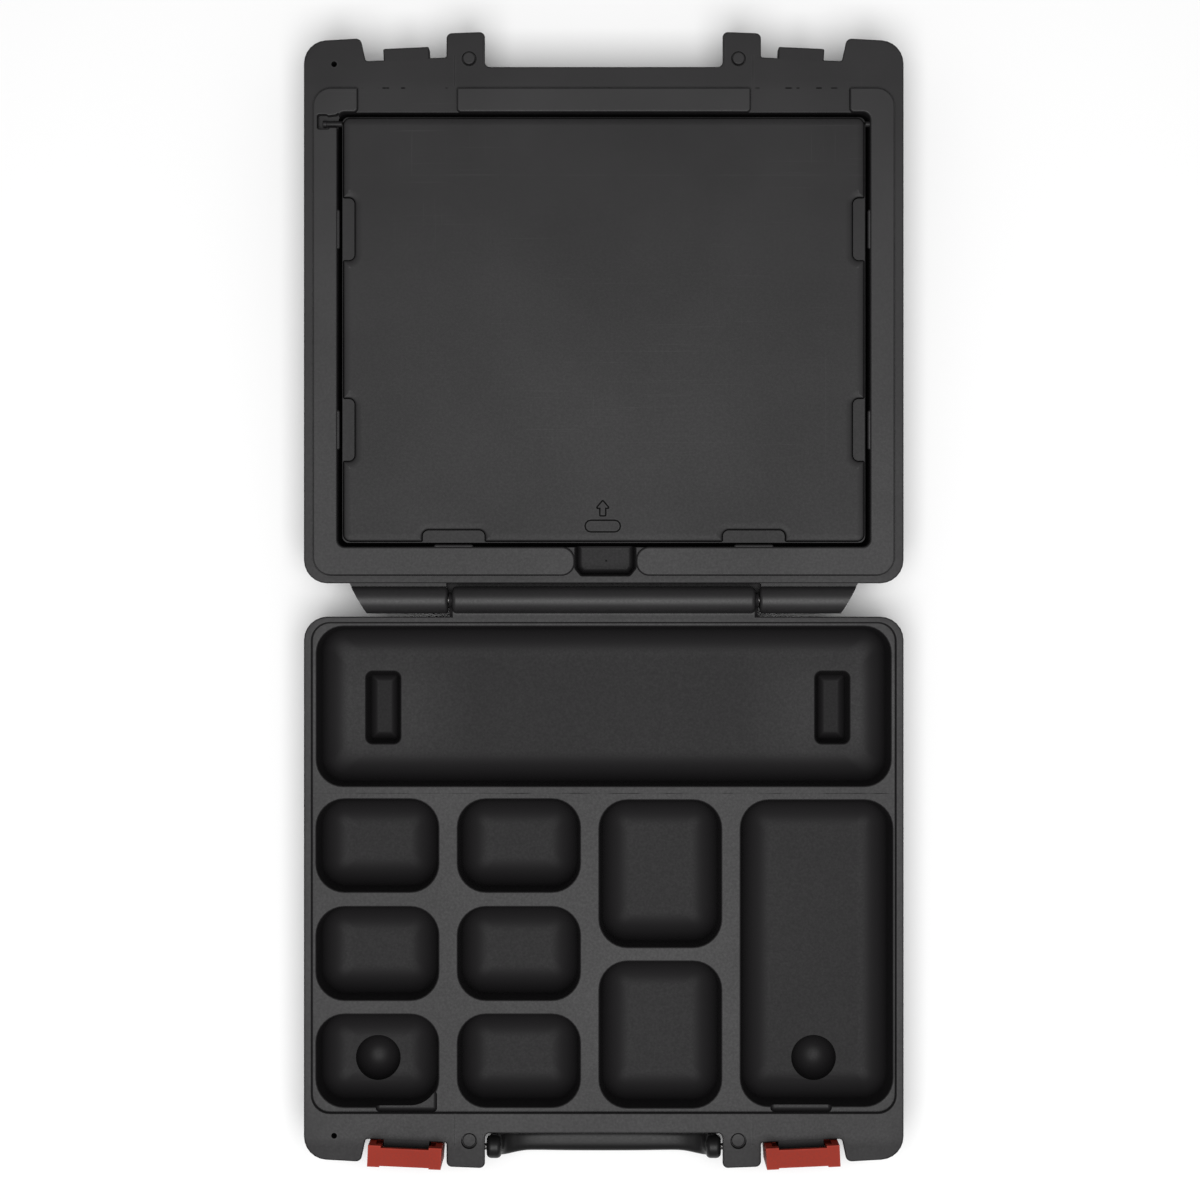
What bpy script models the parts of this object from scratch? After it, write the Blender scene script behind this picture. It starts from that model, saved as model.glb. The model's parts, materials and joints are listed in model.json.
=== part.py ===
"""Blow-moulded tool case, lying open and flat.

The two halves are joined by a barrel hinge along X at y = 0, at the height of the parting plane.
The lid lies on the +Y side and the base on the -Y side.  Plan outlines are written as (x, d), where
d is the distance from the hinge axis, so the two halves share them and mate when the lid is folded.
"""
import math

import bmesh
import bpy
from mathutils import Matrix, Vector

# ---------------------------------------------------------------- driving dimensions, metres
HALF_DEPTH = 0.052          # outer face to hinge axis, each half
PARTING_GAP = 0.00015       # each parting face stands this far below the hinge axis
WALL = 0.0018               # blow-moulded wall
DRAFT = math.tan(math.radians(2.5))
EDGE_ROUND = 0.007          # long outer edges

HALF_WIDTH = 0.180
REAR = 0.010                # rear wall, distance from the hinge axis
FRONT = 0.320               # front wall between the lugs
REAR_CORNER = 0.014
FRONT_CORNER = 0.014

LUG_OUTER = 0.0944
LUG_INNER = 0.0713
LUG_FRONT_OUTER = 0.3402
LUG_FRONT_INNER = 0.3411
LUG_CORNER = 0.0033
BLOCK_FRONT = 0.3353        # corner blocks, at the outer corner
BLOCK_FRONT_INNER = 0.3372
BLOCK_INNER = 0.1472
BLOCK_FOOT = 0.1441
BLOCK_CORNER = 0.0034
RECESS_OUTER = 0.3235       # floor of the latch recess, at its outer and inner ends
RECESS_INNER = 0.3258

TONGUE_X = 0.1744           # raised frame on the lid
TONGUE_REAR = 0.0147
TONGUE_FRONT = 0.307
TONGUE_HEIGHT = 0.0035
FRAME_CORNER = 0.011
DECK_X = 0.1754             # lowered deck of the base, which takes the lid's raised frame
DECK_REAR = 0.0136
DECK_FRONT = 0.3081
DECK_DROP = 0.00365
TONGUE_BREAK = (0.088, 0.1475)      # the raised frame is missing behind the latches
SKIN_UNDER_PARTING = 0.006          # solid skin under the parting face

BARREL_R = 0.0081
BARREL_HALF = 0.091
KNUCKLE = (0.0933, 0.1515)
KNUCKLE_FAR_END = 0.142
KNUCKLE_LIP = 0.006
LEDGE_HALF = 0.0925         # ledge of the lid that closes the gap under the barrel
LEDGE_REAR = 0.0008
LEDGE_Z = (-0.0120, -0.0092)
HINGE_PIN_R = 0.0025
HINGE_PIN = (0.070, 0.136)
PIN_GAP = 0.0003

POCKET_DEPTH = 0.034
POCKET_CORNER = 0.017
POCKET_FLOOR_ROUND = 0.012
POCKET_DRAFT = 0.0016
TRAY = (-0.1727, 0.1727, 0.0159, 0.1119)
TRAY_CORNER = 0.016
COLUMN_1 = (-0.1729, -0.0995)
COLUMN_2 = (-0.0878, -0.0143)
COLUMN_3 = (-0.0026, 0.0707)
COLUMN_4 = (0.0824, 0.1737)
THREE_ROWS = ((0.1198, 0.1755), (0.1846, 0.2406), (0.2493, 0.3050))
TWO_ROWS = ((0.1204, 0.2088), (0.2174, 0.3054))
ONE_ROW = ((0.1204, 0.3045),)
TACK_FLOOR = 0.0026         # height of the floors pressed against the outer skin
TACK_SLOTS = ((-0.1455, -0.1246), (0.1296, 0.1505))
TACK_SLOT_D = (0.0438, 0.0878)
TACK_CORNER = 0.004
TACK_FLOOR_ROUND = 0.002
BOWLS = ((-0.1380, 0.2800), (0.1285, 0.2800))
BOWL_R = 0.0137
RELIEFS = ((-0.1372, -0.1002, 0.2950, 0.3079), (0.1002, 0.1372, 0.2970, 0.3079))
RELIEF_DROP = 0.0078        # shelves behind the latches, below the hinge axis
RELIEF_CORNER = 0.0018
RELIEF_FLOOR_ROUND = 0.0008

CAVITY = (-0.1597, 0.1597, 0.0318, 0.2924)
CAVITY_FLOOR = 0.016
CAVITY_CORNER = 0.005
FINGER = (-0.017, 0.019, 0.0148, 0.040)
FINGER_FLOOR = 0.036

COVER_X = 0.157
COVER_REAR = 0.0342
COVER_FRONT = 0.2898
COVER_SHEET = 0.0022
COVER_PANEL_SHEET = 0.0019
COVER_LEDGE = 0.0004        # flange top above the hinge axis
COVER_TOP = 0.0026          # panel top above the hinge axis
COVER_SKIRT = -0.005        # skirt's lower edge
COVER_STEP = 0.0010         # raised panel's inset from the flange
PANEL_CHAMFER = 0.0012
COVER_AXIS_D = 0.2856
COVER_AXIS_Z = -0.001
STUB_R = 0.0018
STUB_GAP = 0.00035
STUBS = ((-0.1685, -0.156), (0.156, 0.1675))    # trunnions, each from end to end
STUB_SLOT = (-0.1715, 0.2824, 0.2908)           # open slot of the left one: end, rear and front
RIB_THICK = 0.0018
RIBS_LONG = (-0.060, 0.0, 0.060)        # clear of the notches
RIBS_CROSS = (0.130, 0.194)
NOTCH_LENGTH = 0.037
NOTCH_DEPTH = 0.0075
NOTCH_CORNER = 0.0024
SIDE_NOTCHES = (0.102, 0.2223)
REAR_NOTCHES = (-0.090, 0.090)
BUMP_LENGTH = 0.024
BUMP_PROUD = 0.0018

PEG = (0.0808, 0.3247, 0.0038)
PEG_HEIGHT = 0.0028
BLOW_HOLE = (-0.1618, 0.3215, 0.00175)

LATCH_X = 0.1186            # middle of each latch
LATCH_TILT = math.atan2(RECESS_INNER - RECESS_OUTER, BLOCK_FOOT - LUG_OUTER)
LATCH_WIDTH = 0.0438
LATCH_D = 0.330             # latch pivot
LATCH_Z = -0.020
LATCH_OUT = 0.0079          # pivot to the latch's outer face
LATCH_IN = 0.0048           # pivot to the arms' inner edge
LATCH_SHEET = 0.0026
LATCH_PANEL_DROP = 0.0007   # the front face is set back between the arms
LATCH_EYE_R = 0.0052        # round lower end of the arms, about the pivot
LATCH_FOOT = 0.0035         # the front plate ends this far below the pivot
LATCH_ARM = 0.0076
LATCH_TOP = 0.015
CATCH_HEIGHT = 0.011        # the hook closes over this much of the lid's tab
CATCH = (0.0276, 0.0015)    # width, and front face out from the latch pivot
POST_WIDTH = 0.0255
POST_R = 0.0042
LATCH_PIN_R = 0.0015

HANDLE_D = 0.3298
HANDLE_Z = -0.010
HANDLE_X = 0.0700
HANDLE_ARM = 0.0085
HANDLE_THICK = 0.0140
HANDLE_DROP = 0.028         # pivot to the middle of the grip
GRIP_HEIGHT = 0.013
HANDLE_BEND = 0.030         # outer and inner bend from the arms into the grip
GRIP_BEND = 0.018
HANDLE_PIN_R = 0.002
HANDLE_PIN = (0.0625, 0.0805)

ARC_STEPS = 4
ROUND_STEPS = 24

BASE = -1
LID = 1
SIDES = (("left", -1), ("right", 1))


# ---------------------------------------------------------------- plan outlines
def rectangle(x0, x1, d0, d1, radius):
    """Corners of a rounded rectangle, anticlockwise, each with its radius."""
    return [(x0, d0, radius), (x1, d0, radius), (x1, d1, radius), (x0, d1, radius)]


def half_outline():
    """Plan outline of either half at the parting plane, anticlockwise."""
    right = [
        (HALF_WIDTH, REAR, REAR_CORNER),
        (HALF_WIDTH, BLOCK_FRONT, FRONT_CORNER),
        (BLOCK_INNER, BLOCK_FRONT_INNER, BLOCK_CORNER),
        (BLOCK_FOOT, RECESS_OUTER, 0.0025),
        (LUG_OUTER, RECESS_INNER, 0.0020),
        (LUG_OUTER, LUG_FRONT_OUTER, LUG_CORNER),
        (LUG_INNER, LUG_FRONT_INNER, LUG_CORNER),
        (LUG_INNER, FRONT, 0.0030),
    ]
    left = [(-x, d, radius) for x, d, radius in reversed(right)]
    return right + left


def hollow_outline():
    """Plan outline of the space between the walls: it enters the corner blocks, not the lugs."""
    right = [
        (HALF_WIDTH, REAR, REAR_CORNER),
        (HALF_WIDTH, BLOCK_FRONT, FRONT_CORNER),
        (BLOCK_INNER, BLOCK_FRONT_INNER, BLOCK_CORNER),
        (BLOCK_INNER, FRONT, 0.0025),
    ]
    left = [(-x, d, radius) for x, d, radius in reversed(right)]
    return inset(right + left, WALL)


def panel_outline():
    """Plan outline of the cover's raised panel, with its notches for the snap bumps."""
    x, rear, front = COVER_X - COVER_STEP, COVER_REAR + COVER_STEP, COVER_FRONT - COVER_STEP
    half = NOTCH_LENGTH / 2
    deep_x, deep_rear = COVER_X - NOTCH_DEPTH, COVER_REAR + NOTCH_DEPTH
    right = []
    for middle in REAR_NOTCHES[1:]:
        right += [(middle - half, rear, 0.001), (middle - half, deep_rear, NOTCH_CORNER)]
        right += [(middle + half, deep_rear, NOTCH_CORNER), (middle + half, rear, 0.001)]
    right.append((x, rear, 0.004))
    for middle in SIDE_NOTCHES:
        right += [(x, middle - half, 0.001), (deep_x, middle - half, NOTCH_CORNER)]
        right += [(deep_x, middle + half, NOTCH_CORNER), (x, middle + half, 0.001)]
    right.append((x, front, 0.004))
    left = [(-px, d, radius) for px, d, radius in reversed(right)]
    return right + left


def inset(corners, distance):
    """The outline moved in by a distance, its arcs kept concentric."""
    moved = []
    count = len(corners)
    for index, (x, y, radius) in enumerate(corners):
        before = Vector(corners[index - 1][:2])
        here = Vector((x, y))
        after = Vector(corners[(index + 1) % count][:2])
        first = (here - before).normalized()
        second = (after - here).normalized()
        normal_1 = Vector((-first.y, first.x))
        normal_2 = Vector((-second.y, second.x))
        shift = (normal_1 + normal_2) / (1 + normal_1.dot(normal_2)) * distance
        convex = first.cross(second) > 0
        grown = radius - distance if convex else radius + distance
        moved.append((x + shift.x, y + shift.y, max(grown, 0.0004)))
    return moved


def rounded(corners):
    """Points along the outline, with an arc at each corner."""
    points = []
    count = len(corners)
    for index, (x, y, radius) in enumerate(corners):
        here = Vector((x, y))
        back = (Vector(corners[index - 1][:2]) - here).normalized()
        ahead = (Vector(corners[(index + 1) % count][:2]) - here).normalized()
        half_angle = back.angle(ahead) / 2
        centre = here + (back + ahead).normalized() * radius / math.sin(half_angle)
        start = here + back * radius / math.tan(half_angle) - centre
        end = here + ahead * radius / math.tan(half_angle) - centre
        turn = math.atan2(start.x * end.y - start.y * end.x, start.dot(end))
        for step in range(ARC_STEPS + 1):
            angle = turn * step / ARC_STEPS
            cos, sin = math.cos(angle), math.sin(angle)
            spoke = Vector((cos * start.x - sin * start.y, sin * start.x + cos * start.y))
            points.append(centre + spoke)
    return points


# ---------------------------------------------------------------- scene and mesh helpers
def clear_scene():
    for item in list(bpy.data.objects):
        bpy.data.objects.remove(item, do_unlink=True)


def make_collection(name):
    collection = bpy.data.collections.new(name)
    bpy.context.scene.collection.children.link(collection)
    return collection


def finish_mesh(name, bm, collection):
    bmesh.ops.remove_doubles(bm, verts=bm.verts, dist=1e-7)
    bmesh.ops.recalc_face_normals(bm, faces=bm.faces)
    mesh = bpy.data.meshes.new(name)
    bm.to_mesh(mesh)
    bm.free()
    item = bpy.data.objects.new(name, mesh)
    collection.objects.link(item)
    if collection is CUTTERS:
        item.hide_render = True
        item.display_type = "WIRE"
    return item


def loft(name, sections, side, collection):
    """A solid through plan sections, each (corners, height); side puts d along +Y or -Y."""
    bm = bmesh.new()
    rings = []
    for corners, height in sections:
        rings.append([bm.verts.new((p.x, side * p.y, height)) for p in rounded(corners)])
    count = len(rings[0])
    for low, high in zip(rings, rings[1:]):
        for index in range(count):
            after = (index + 1) % count
            bm.faces.new((low[index], low[after], high[after], high[index]))
    bm.faces.new(rings[0])
    bm.faces.new(rings[-1])
    return finish_mesh(name, bm, collection)


def slab(name, corners, side, low, high, collection):
    """A flat plate of the outline, from a filled 2D curve."""
    curve = bpy.data.curves.new(name, "CURVE")
    curve.dimensions = "2D"
    curve.fill_mode = "BOTH"
    curve.extrude = (high - low) / 2
    points = rounded(corners)
    spline = curve.splines.new("POLY")
    spline.points.add(len(points) - 1)
    for point, place in zip(spline.points, points):
        point.co = (place.x, side * place.y, 0, 1)
    spline.use_cyclic_u = True
    drawn = bpy.data.objects.new(name + "_outline", curve)
    drawn.location.z = (low + high) / 2
    bpy.context.scene.collection.objects.link(drawn)
    bpy.context.view_layer.update()
    evaluated = drawn.evaluated_get(bpy.context.evaluated_depsgraph_get())
    mesh = bpy.data.meshes.new_from_object(evaluated)
    bm = bmesh.new()
    bm.from_mesh(mesh)
    bm.transform(drawn.matrix_world)
    bpy.data.objects.remove(drawn, do_unlink=True)
    bpy.data.meshes.remove(mesh)
    bmesh.ops.remove_doubles(bm, verts=bm.verts, dist=1e-6)
    return finish_mesh(name, bm, collection)


def box(name, low, high, collection, matrix=None):
    bm = bmesh.new()
    bmesh.ops.create_cube(bm, size=1)
    low, high = Vector(low), Vector(high)
    scale = Matrix.Diagonal((high - low).to_4d())
    scale[3][3] = 1
    bm.transform(Matrix.Translation((low + high) / 2) @ scale)
    if matrix:
        bm.transform(matrix)
    return finish_mesh(name, bm, collection)


def pocket(name, side, area, floor, corner, floor_round, grow=0.0):
    """Cutter for a pocket with drafted walls, round corners and a rounded floor."""
    x0, x1, d0, d1 = area
    top = HALF_DEPTH + 0.010
    bm = bmesh.new()
    bmesh.ops.create_cube(bm, size=1)
    size = Matrix.Diagonal((x1 - x0 + 2 * grow, d1 - d0 + 2 * grow, top - floor + grow, 1))
    middle = ((x0 + x1) / 2, side * (d0 + d1) / 2, (top + floor - grow) / 2)
    bm.transform(Matrix.Translation(middle) @ size)
    for vert in bm.verts:
        if vert.co.z < HALF_DEPTH / 2 + floor / 2:
            vert.co.x -= math.copysign(POCKET_DRAFT, vert.co.x - middle[0])
            vert.co.y -= math.copysign(POCKET_DRAFT, vert.co.y - middle[1])
    upright = [e for e in bm.edges if abs(e.verts[0].co.z - e.verts[1].co.z) > 0.001]
    bmesh.ops.bevel(bm, geom=upright, offset=corner + grow, segments=ARC_STEPS, profile=0.5,
                    affect="EDGES")
    lowest = min(v.co.z for v in bm.verts) + 1e-5
    ground = [e for e in bm.edges if max(e.verts[0].co.z, e.verts[1].co.z) < lowest]
    bmesh.ops.bevel(bm, geom=ground, offset=floor_round + grow, segments=2 if grow else 3, profile=0.5,
                    affect="EDGES")
    return finish_mesh(name, bm, CUTTERS)


def rod(name, start, end, radius, collection, matrix=None, end_round=0.0, steps=ROUND_STEPS):
    """A round bar between two points."""
    start, end = Vector(start), Vector(end)
    along = end - start
    bm = bmesh.new()
    bmesh.ops.create_cone(bm, cap_ends=True, segments=steps, radius1=radius, radius2=radius,
                          depth=along.length)
    if end_round:
        rims = [e for e in bm.edges if len({round(v.co.z, 6) for v in e.verts}) == 1]
        bmesh.ops.bevel(bm, geom=rims, offset=end_round, segments=2, profile=0.5, affect="EDGES")
    turn = Vector((0, 0, 1)).rotation_difference(along).to_matrix().to_4x4()
    bm.transform(Matrix.Translation((start + end) / 2) @ turn)
    if matrix:
        bm.transform(matrix)
    return finish_mesh(name, bm, collection)


def boolean(target, operation, tools):
    for tool in tools:
        modifier = target.modifiers.new(tool.name, "BOOLEAN")
        modifier.operation = operation
        modifier.solver = "EXACT"
        modifier.object = tool


def cut(target, *tools):
    boolean(target, "DIFFERENCE", tools)


def join(target, *tools):
    boolean(target, "UNION", tools)


def set_origin(item, place, turn=0.0):
    """Put the object's origin on its joint axis without moving its surface."""
    frame = Matrix.Translation(place) @ Matrix.Rotation(turn, 4, "Z")
    item.data.transform(frame.inverted())
    item.matrix_world = frame


def plastic(name, colour, roughness, metallic=0.0):
    material = bpy.data.materials.new(name)
    material.use_nodes = True
    shader = material.node_tree.nodes["Principled BSDF"]
    shader.inputs["Base Color"].default_value = (*colour, 1)
    shader.inputs["Roughness"].default_value = roughness
    shader.inputs["Metallic"].default_value = metallic
    return material


def dress(item, colour, roughness, metallic=0.0):
    item.data.materials.clear()
    item.data.materials.append(plastic(item.name, colour, roughness, metallic))
    item.data.shade_smooth()
    item.data.set_sharp_from_angle(angle=math.radians(35))


# ---------------------------------------------------------------- the two shells
def shell_block(name, side):
    """Outer form of one half: drafted walls with rounded long edges."""
    outline = half_outline()
    lean = DRAFT * HALF_DEPTH
    sections = []
    for angle in (90, 45, 0):
        inward = EDGE_ROUND * (1 - math.cos(math.radians(angle)))
        height = EDGE_ROUND * (1 - math.sin(math.radians(angle)))
        sections.append((inset(outline, lean - DRAFT * height + inward), height))
    sections.append((outline, HALF_DEPTH - PARTING_GAP))
    return loft(name, sections, side, PARTS)


def shell_hollow(name, side):
    """The space between the inner and outer walls, before the pockets are taken out of it."""
    outline = hollow_outline()
    lean = DRAFT * HALF_DEPTH
    round_in = EDGE_ROUND - WALL
    sections = [
        (inset(outline, lean + round_in), WALL),
        (inset(outline, lean), WALL + round_in),
        (outline, HALF_DEPTH - SKIN_UNDER_PARTING),
    ]
    return loft(name, sections, side, CUTTERS)


def latch_frame(side_x, side):
    """Frame of one latch: pivot at the origin, +X along the pin, +Y out of the front wall."""
    place = Matrix.Translation((side_x * LATCH_X, side * LATCH_D, HALF_DEPTH + LATCH_Z))
    turn = Matrix.Rotation(-side * side_x * LATCH_TILT, 4, "Z")
    face = Matrix.Diagonal((1, side, 1, 1))
    return place @ turn @ face


def base_pockets():
    """Name, area, floor height, corner radius and floor radius of every hollow in the base."""
    floor = HALF_DEPTH - POCKET_DEPTH
    yield "tray", TRAY, floor, TRAY_CORNER, POCKET_FLOOR_ROUND
    for column, (x_range, rows) in enumerate(
            ((COLUMN_1, THREE_ROWS), (COLUMN_2, THREE_ROWS), (COLUMN_3, TWO_ROWS), (COLUMN_4, ONE_ROW)), 1):
        for row, d_range in enumerate(rows, 1):
            yield f"pocket_{column}_{row}", (*x_range, *d_range), floor, POCKET_CORNER, POCKET_FLOOR_ROUND
    for index, x_range in enumerate(TACK_SLOTS, 1):
        yield f"tack_slot_{index}", (*x_range, *TACK_SLOT_D), TACK_FLOOR, TACK_CORNER, TACK_FLOOR_ROUND
    for index, area in enumerate(RELIEFS, 1):
        yield f"relief_{index}", area, HALF_DEPTH - RELIEF_DROP, RELIEF_CORNER, RELIEF_FLOOR_ROUND


def make_base():
    base = shell_block("base_shell", BASE)
    hollow = shell_hollow("base_hollow", BASE)
    join(base, rod("barrel", (-BARREL_HALF, 0, HALF_DEPTH), (BARREL_HALF, 0, HALF_DEPTH), BARREL_R,
                   CUTTERS, end_round=0.0025))
    join(base, box("barrel_web", (-BARREL_HALF + 0.003, -REAR - 0.001, HALF_DEPTH - BARREL_R * 0.9),
                   (BARREL_HALF - 0.003, -0.001, HALF_DEPTH - PARTING_GAP - 0.0005), CUTTERS))
    for name, side_x in SIDES:
        frame = latch_frame(side_x, BASE)
        join(base, latch_post(f"latch_post_{name}", frame))
        cut(base, rod(f"latch_bore_{name}", (-0.03, 0, 0), (0.03, 0, 0),
                      LATCH_PIN_R + PIN_GAP, CUTTERS, frame, steps=16))
    deck = slab("deck", rectangle(-DECK_X, DECK_X, DECK_REAR, DECK_FRONT, FRAME_CORNER), BASE,
                HALF_DEPTH - PARTING_GAP - DECK_DROP, HALF_DEPTH + 0.02, CUTTERS)
    cut(base, deck)
    for name, area, floor, corner, floor_round in base_pockets():
        cut(base, pocket(name, BASE, area, floor, corner, floor_round))
        cut(hollow, pocket(name + "_wall", BASE, area, floor, corner, floor_round, grow=WALL))
    for index, (x, d) in enumerate(BOWLS, 1):
        top = HALF_DEPTH - POCKET_DEPTH + 0.002
        cut(base, rod(f"bowl_{index}", (x, -d, TACK_FLOOR), (x, -d, top), BOWL_R, CUTTERS))
        cut(hollow, rod(f"bowl_{index}_wall", (x, -d, 0), (x, -d, top), BOWL_R + WALL, CUTTERS))
    cut(base, hollow)
    for name, side_x in SIDES:
        cut(base, rod(f"hinge_bore_{name}", (side_x * (HINGE_PIN[0] - PIN_GAP), 0, HALF_DEPTH),
                      (side_x * (BARREL_HALF + 0.01), 0, HALF_DEPTH), HINGE_PIN_R + PIN_GAP, CUTTERS))
        cut(base, rod(f"handle_bore_{name}", (side_x * (LUG_INNER - 0.01), -HANDLE_D, HALF_DEPTH + HANDLE_Z),
                      (side_x * (HANDLE_PIN[1] + PIN_GAP), -HANDLE_D, HALF_DEPTH + HANDLE_Z),
                      HANDLE_PIN_R + PIN_GAP, CUTTERS))
        cut(base, rod(f"peg_dimple_{name}", (side_x * PEG[0], -PEG[1], HALF_DEPTH - 0.0035),
                      (side_x * PEG[0], -PEG[1], HALF_DEPTH + 0.01), PEG[2] + 0.0011, CUTTERS))
    x, d, radius = BLOW_HOLE
    cut(base, rod("base_blow_hole", (x, -d, HALF_DEPTH - 0.010), (x, -d, HALF_DEPTH + 0.01), radius,
                  CUTTERS, steps=16))
    dress(base, (0.062, 0.060, 0.062), 0.5)
    return base


def latch_post(name, frame):
    """Tongue on the base's front wall that carries the latch pin."""
    half = POST_WIDTH / 2
    web_z = POST_R * 0.72
    post = rod(name, (-half, 0, 0), (half, 0, 0), POST_R, CUTTERS, frame)
    join(post, box(name + "_web", (-half + 0.0002, -0.0125, -web_z), (half - 0.0002, -0.0005, web_z), CUTTERS,
                   frame))
    join(post, box(name + "_tongue", (-half + 0.0004, -0.012, 0), (half - 0.0004, -0.0007, -LATCH_Z - 0.0006),
                   CUTTERS, frame))
    return post


def make_lid():
    lid = shell_block("lid_shell", LID)
    hollow = shell_hollow("lid_hollow", LID)
    parting = HALF_DEPTH - PARTING_GAP
    frame_outline = rectangle(-TONGUE_X, TONGUE_X, TONGUE_REAR, TONGUE_FRONT, FRAME_CORNER)
    join(lid, slab("raised_frame", frame_outline, LID, parting - 0.002, parting + TONGUE_HEIGHT, CUTTERS))
    above = HALF_DEPTH + 0.02
    for name, side_x in SIDES:
        low, high = sorted(side_x * x for x in TONGUE_BREAK)
        cut(lid, box(f"frame_break_{name}", (low, CAVITY[3] + 0.0001, parting),
                     (high, TONGUE_FRONT + 0.002, above), CUTTERS))
        join(lid, lid_knuckle(name, side_x))
        frame = latch_frame(side_x, LID)
        tab_top = -LATCH_Z - PARTING_GAP
        join(lid, box(f"catch_tab_{name}", (-CATCH[0] / 2, -0.012, tab_top - CATCH_HEIGHT),
                      (CATCH[0] / 2, CATCH[1], tab_top), CUTTERS, frame))
        join(lid, rod(f"peg_{name}", (side_x * PEG[0], PEG[1], parting - 0.001),
                      (side_x * PEG[0], PEG[1], parting + PEG_HEIGHT), PEG[2], CUTTERS, end_round=0.0008))
    join(lid, box("barrel_ledge", (-LEDGE_HALF, LEDGE_REAR, HALF_DEPTH + LEDGE_Z[0]),
                  (LEDGE_HALF, REAR + 0.001, HALF_DEPTH + LEDGE_Z[1]), CUTTERS))
    cut(lid, box("finger_break", (FINGER[0] - 0.001, TONGUE_REAR - 0.001, parting),
                 (FINGER[1] + 0.001, FINGER[3], above), CUTTERS))
    for name, area, floor, corner, floor_round in (
            ("compartment", CAVITY, CAVITY_FLOOR, CAVITY_CORNER, 0.004),
            ("finger_recess", FINGER, FINGER_FLOOR, 0.003, 0.002)):
        cut(lid, pocket(name, LID, area, floor, corner, floor_round))
        cut(hollow, pocket(name + "_wall", LID, area, floor, corner, floor_round, grow=WALL))
    cut(lid, hollow)
    join(lid, *snap_bumps())
    axis_z = HALF_DEPTH + COVER_AXIS_Z
    slot_floor = axis_z - STUB_R - STUB_GAP
    end, rear, front = STUB_SLOT
    cut(lid, box("stub_slot", (end, rear, slot_floor), (CAVITY[0] + 0.001, front, above), CUTTERS))
    cut(lid, rod("stub_bore", (0.155, COVER_AXIS_D, axis_z), (STUBS[1][1] + 0.001, COVER_AXIS_D, axis_z),
                 STUB_R + STUB_GAP, CUTTERS))
    x, d, radius = BLOW_HOLE
    cut(lid, rod("lid_blow_hole", (x, d, HALF_DEPTH - 0.010), (x, d, above), radius, CUTTERS, steps=16))
    dress(lid, (0.062, 0.060, 0.062), 0.5)
    return lid


def lid_knuckle(name, side_x):
    """One hinge knuckle of the lid, its outer end slanted, on a flat lip from the rear wall."""
    bm = bmesh.new()
    length = KNUCKLE[1] - KNUCKLE[0]
    bmesh.ops.create_cone(bm, cap_ends=True, segments=ROUND_STEPS, radius1=BARREL_R, radius2=BARREL_R,
                          depth=length)
    turn = Matrix.Rotation(math.radians(90), 4, "Y")
    bm.transform(Matrix.Translation(((KNUCKLE[0] + KNUCKLE[1]) / 2, 0, HALF_DEPTH)) @ turn)
    slant = Vector((2 * BARREL_R, KNUCKLE_FAR_END - KNUCKLE[1], 0)).normalized()
    result = bmesh.ops.bisect_plane(bm, geom=bm.verts[:] + bm.edges[:] + bm.faces[:],
                                    plane_co=(KNUCKLE[1], BARREL_R, 0), plane_no=slant, clear_outer=True)
    rim = [e for e in result["geom_cut"] if isinstance(e, bmesh.types.BMEdge)]
    bmesh.ops.contextual_create(bm, geom=rim)
    bm.transform(Matrix.Diagonal((side_x, 1, 1, 1)))
    knuckle = finish_mesh(f"knuckle_{name}", bm, CUTTERS)
    low, high = sorted(side_x * x for x in (KNUCKLE[0], KNUCKLE_FAR_END + 0.004))
    top = HALF_DEPTH - PARTING_GAP - 0.0005
    join(knuckle, box(f"knuckle_lip_{name}", (low, 0.0015, top - KNUCKLE_LIP),
                      (high, REAR + 0.001, top), CUTTERS))
    bore = rod(f"knuckle_bore_{name}", (side_x * (KNUCKLE[0] - 0.005), 0, HALF_DEPTH),
               (side_x * (HINGE_PIN[1] + PIN_GAP), 0, HALF_DEPTH), HINGE_PIN_R + PIN_GAP, CUTTERS)
    cut(knuckle, bore)
    return knuckle


def snap_bumps():
    """Low bumps on the compartment's edge that hold the cover's ledges down."""
    low = HALF_DEPTH + COVER_LEDGE + 0.0004
    high = HALF_DEPTH + COVER_TOP
    half = BUMP_LENGTH / 2
    for side_x in (-1, 1):
        for middle in SIDE_NOTCHES:
            edge = side_x * (CAVITY[1] - BUMP_PROUD)
            root = side_x * (CAVITY[1] + 0.004)
            x0, x1 = sorted((edge, root))
            yield box(f"bump_{middle:.3f}_{side_x}", (x0, middle - half, low),
                      (x1, middle + half, high), CUTTERS)
    for middle in REAR_NOTCHES:
        yield box(f"bump_rear_{middle:.3f}", (middle - half, CAVITY[2] - 0.004, low),
                  (middle + half, CAVITY[2] + BUMP_PROUD, high), CUTTERS)


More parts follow.
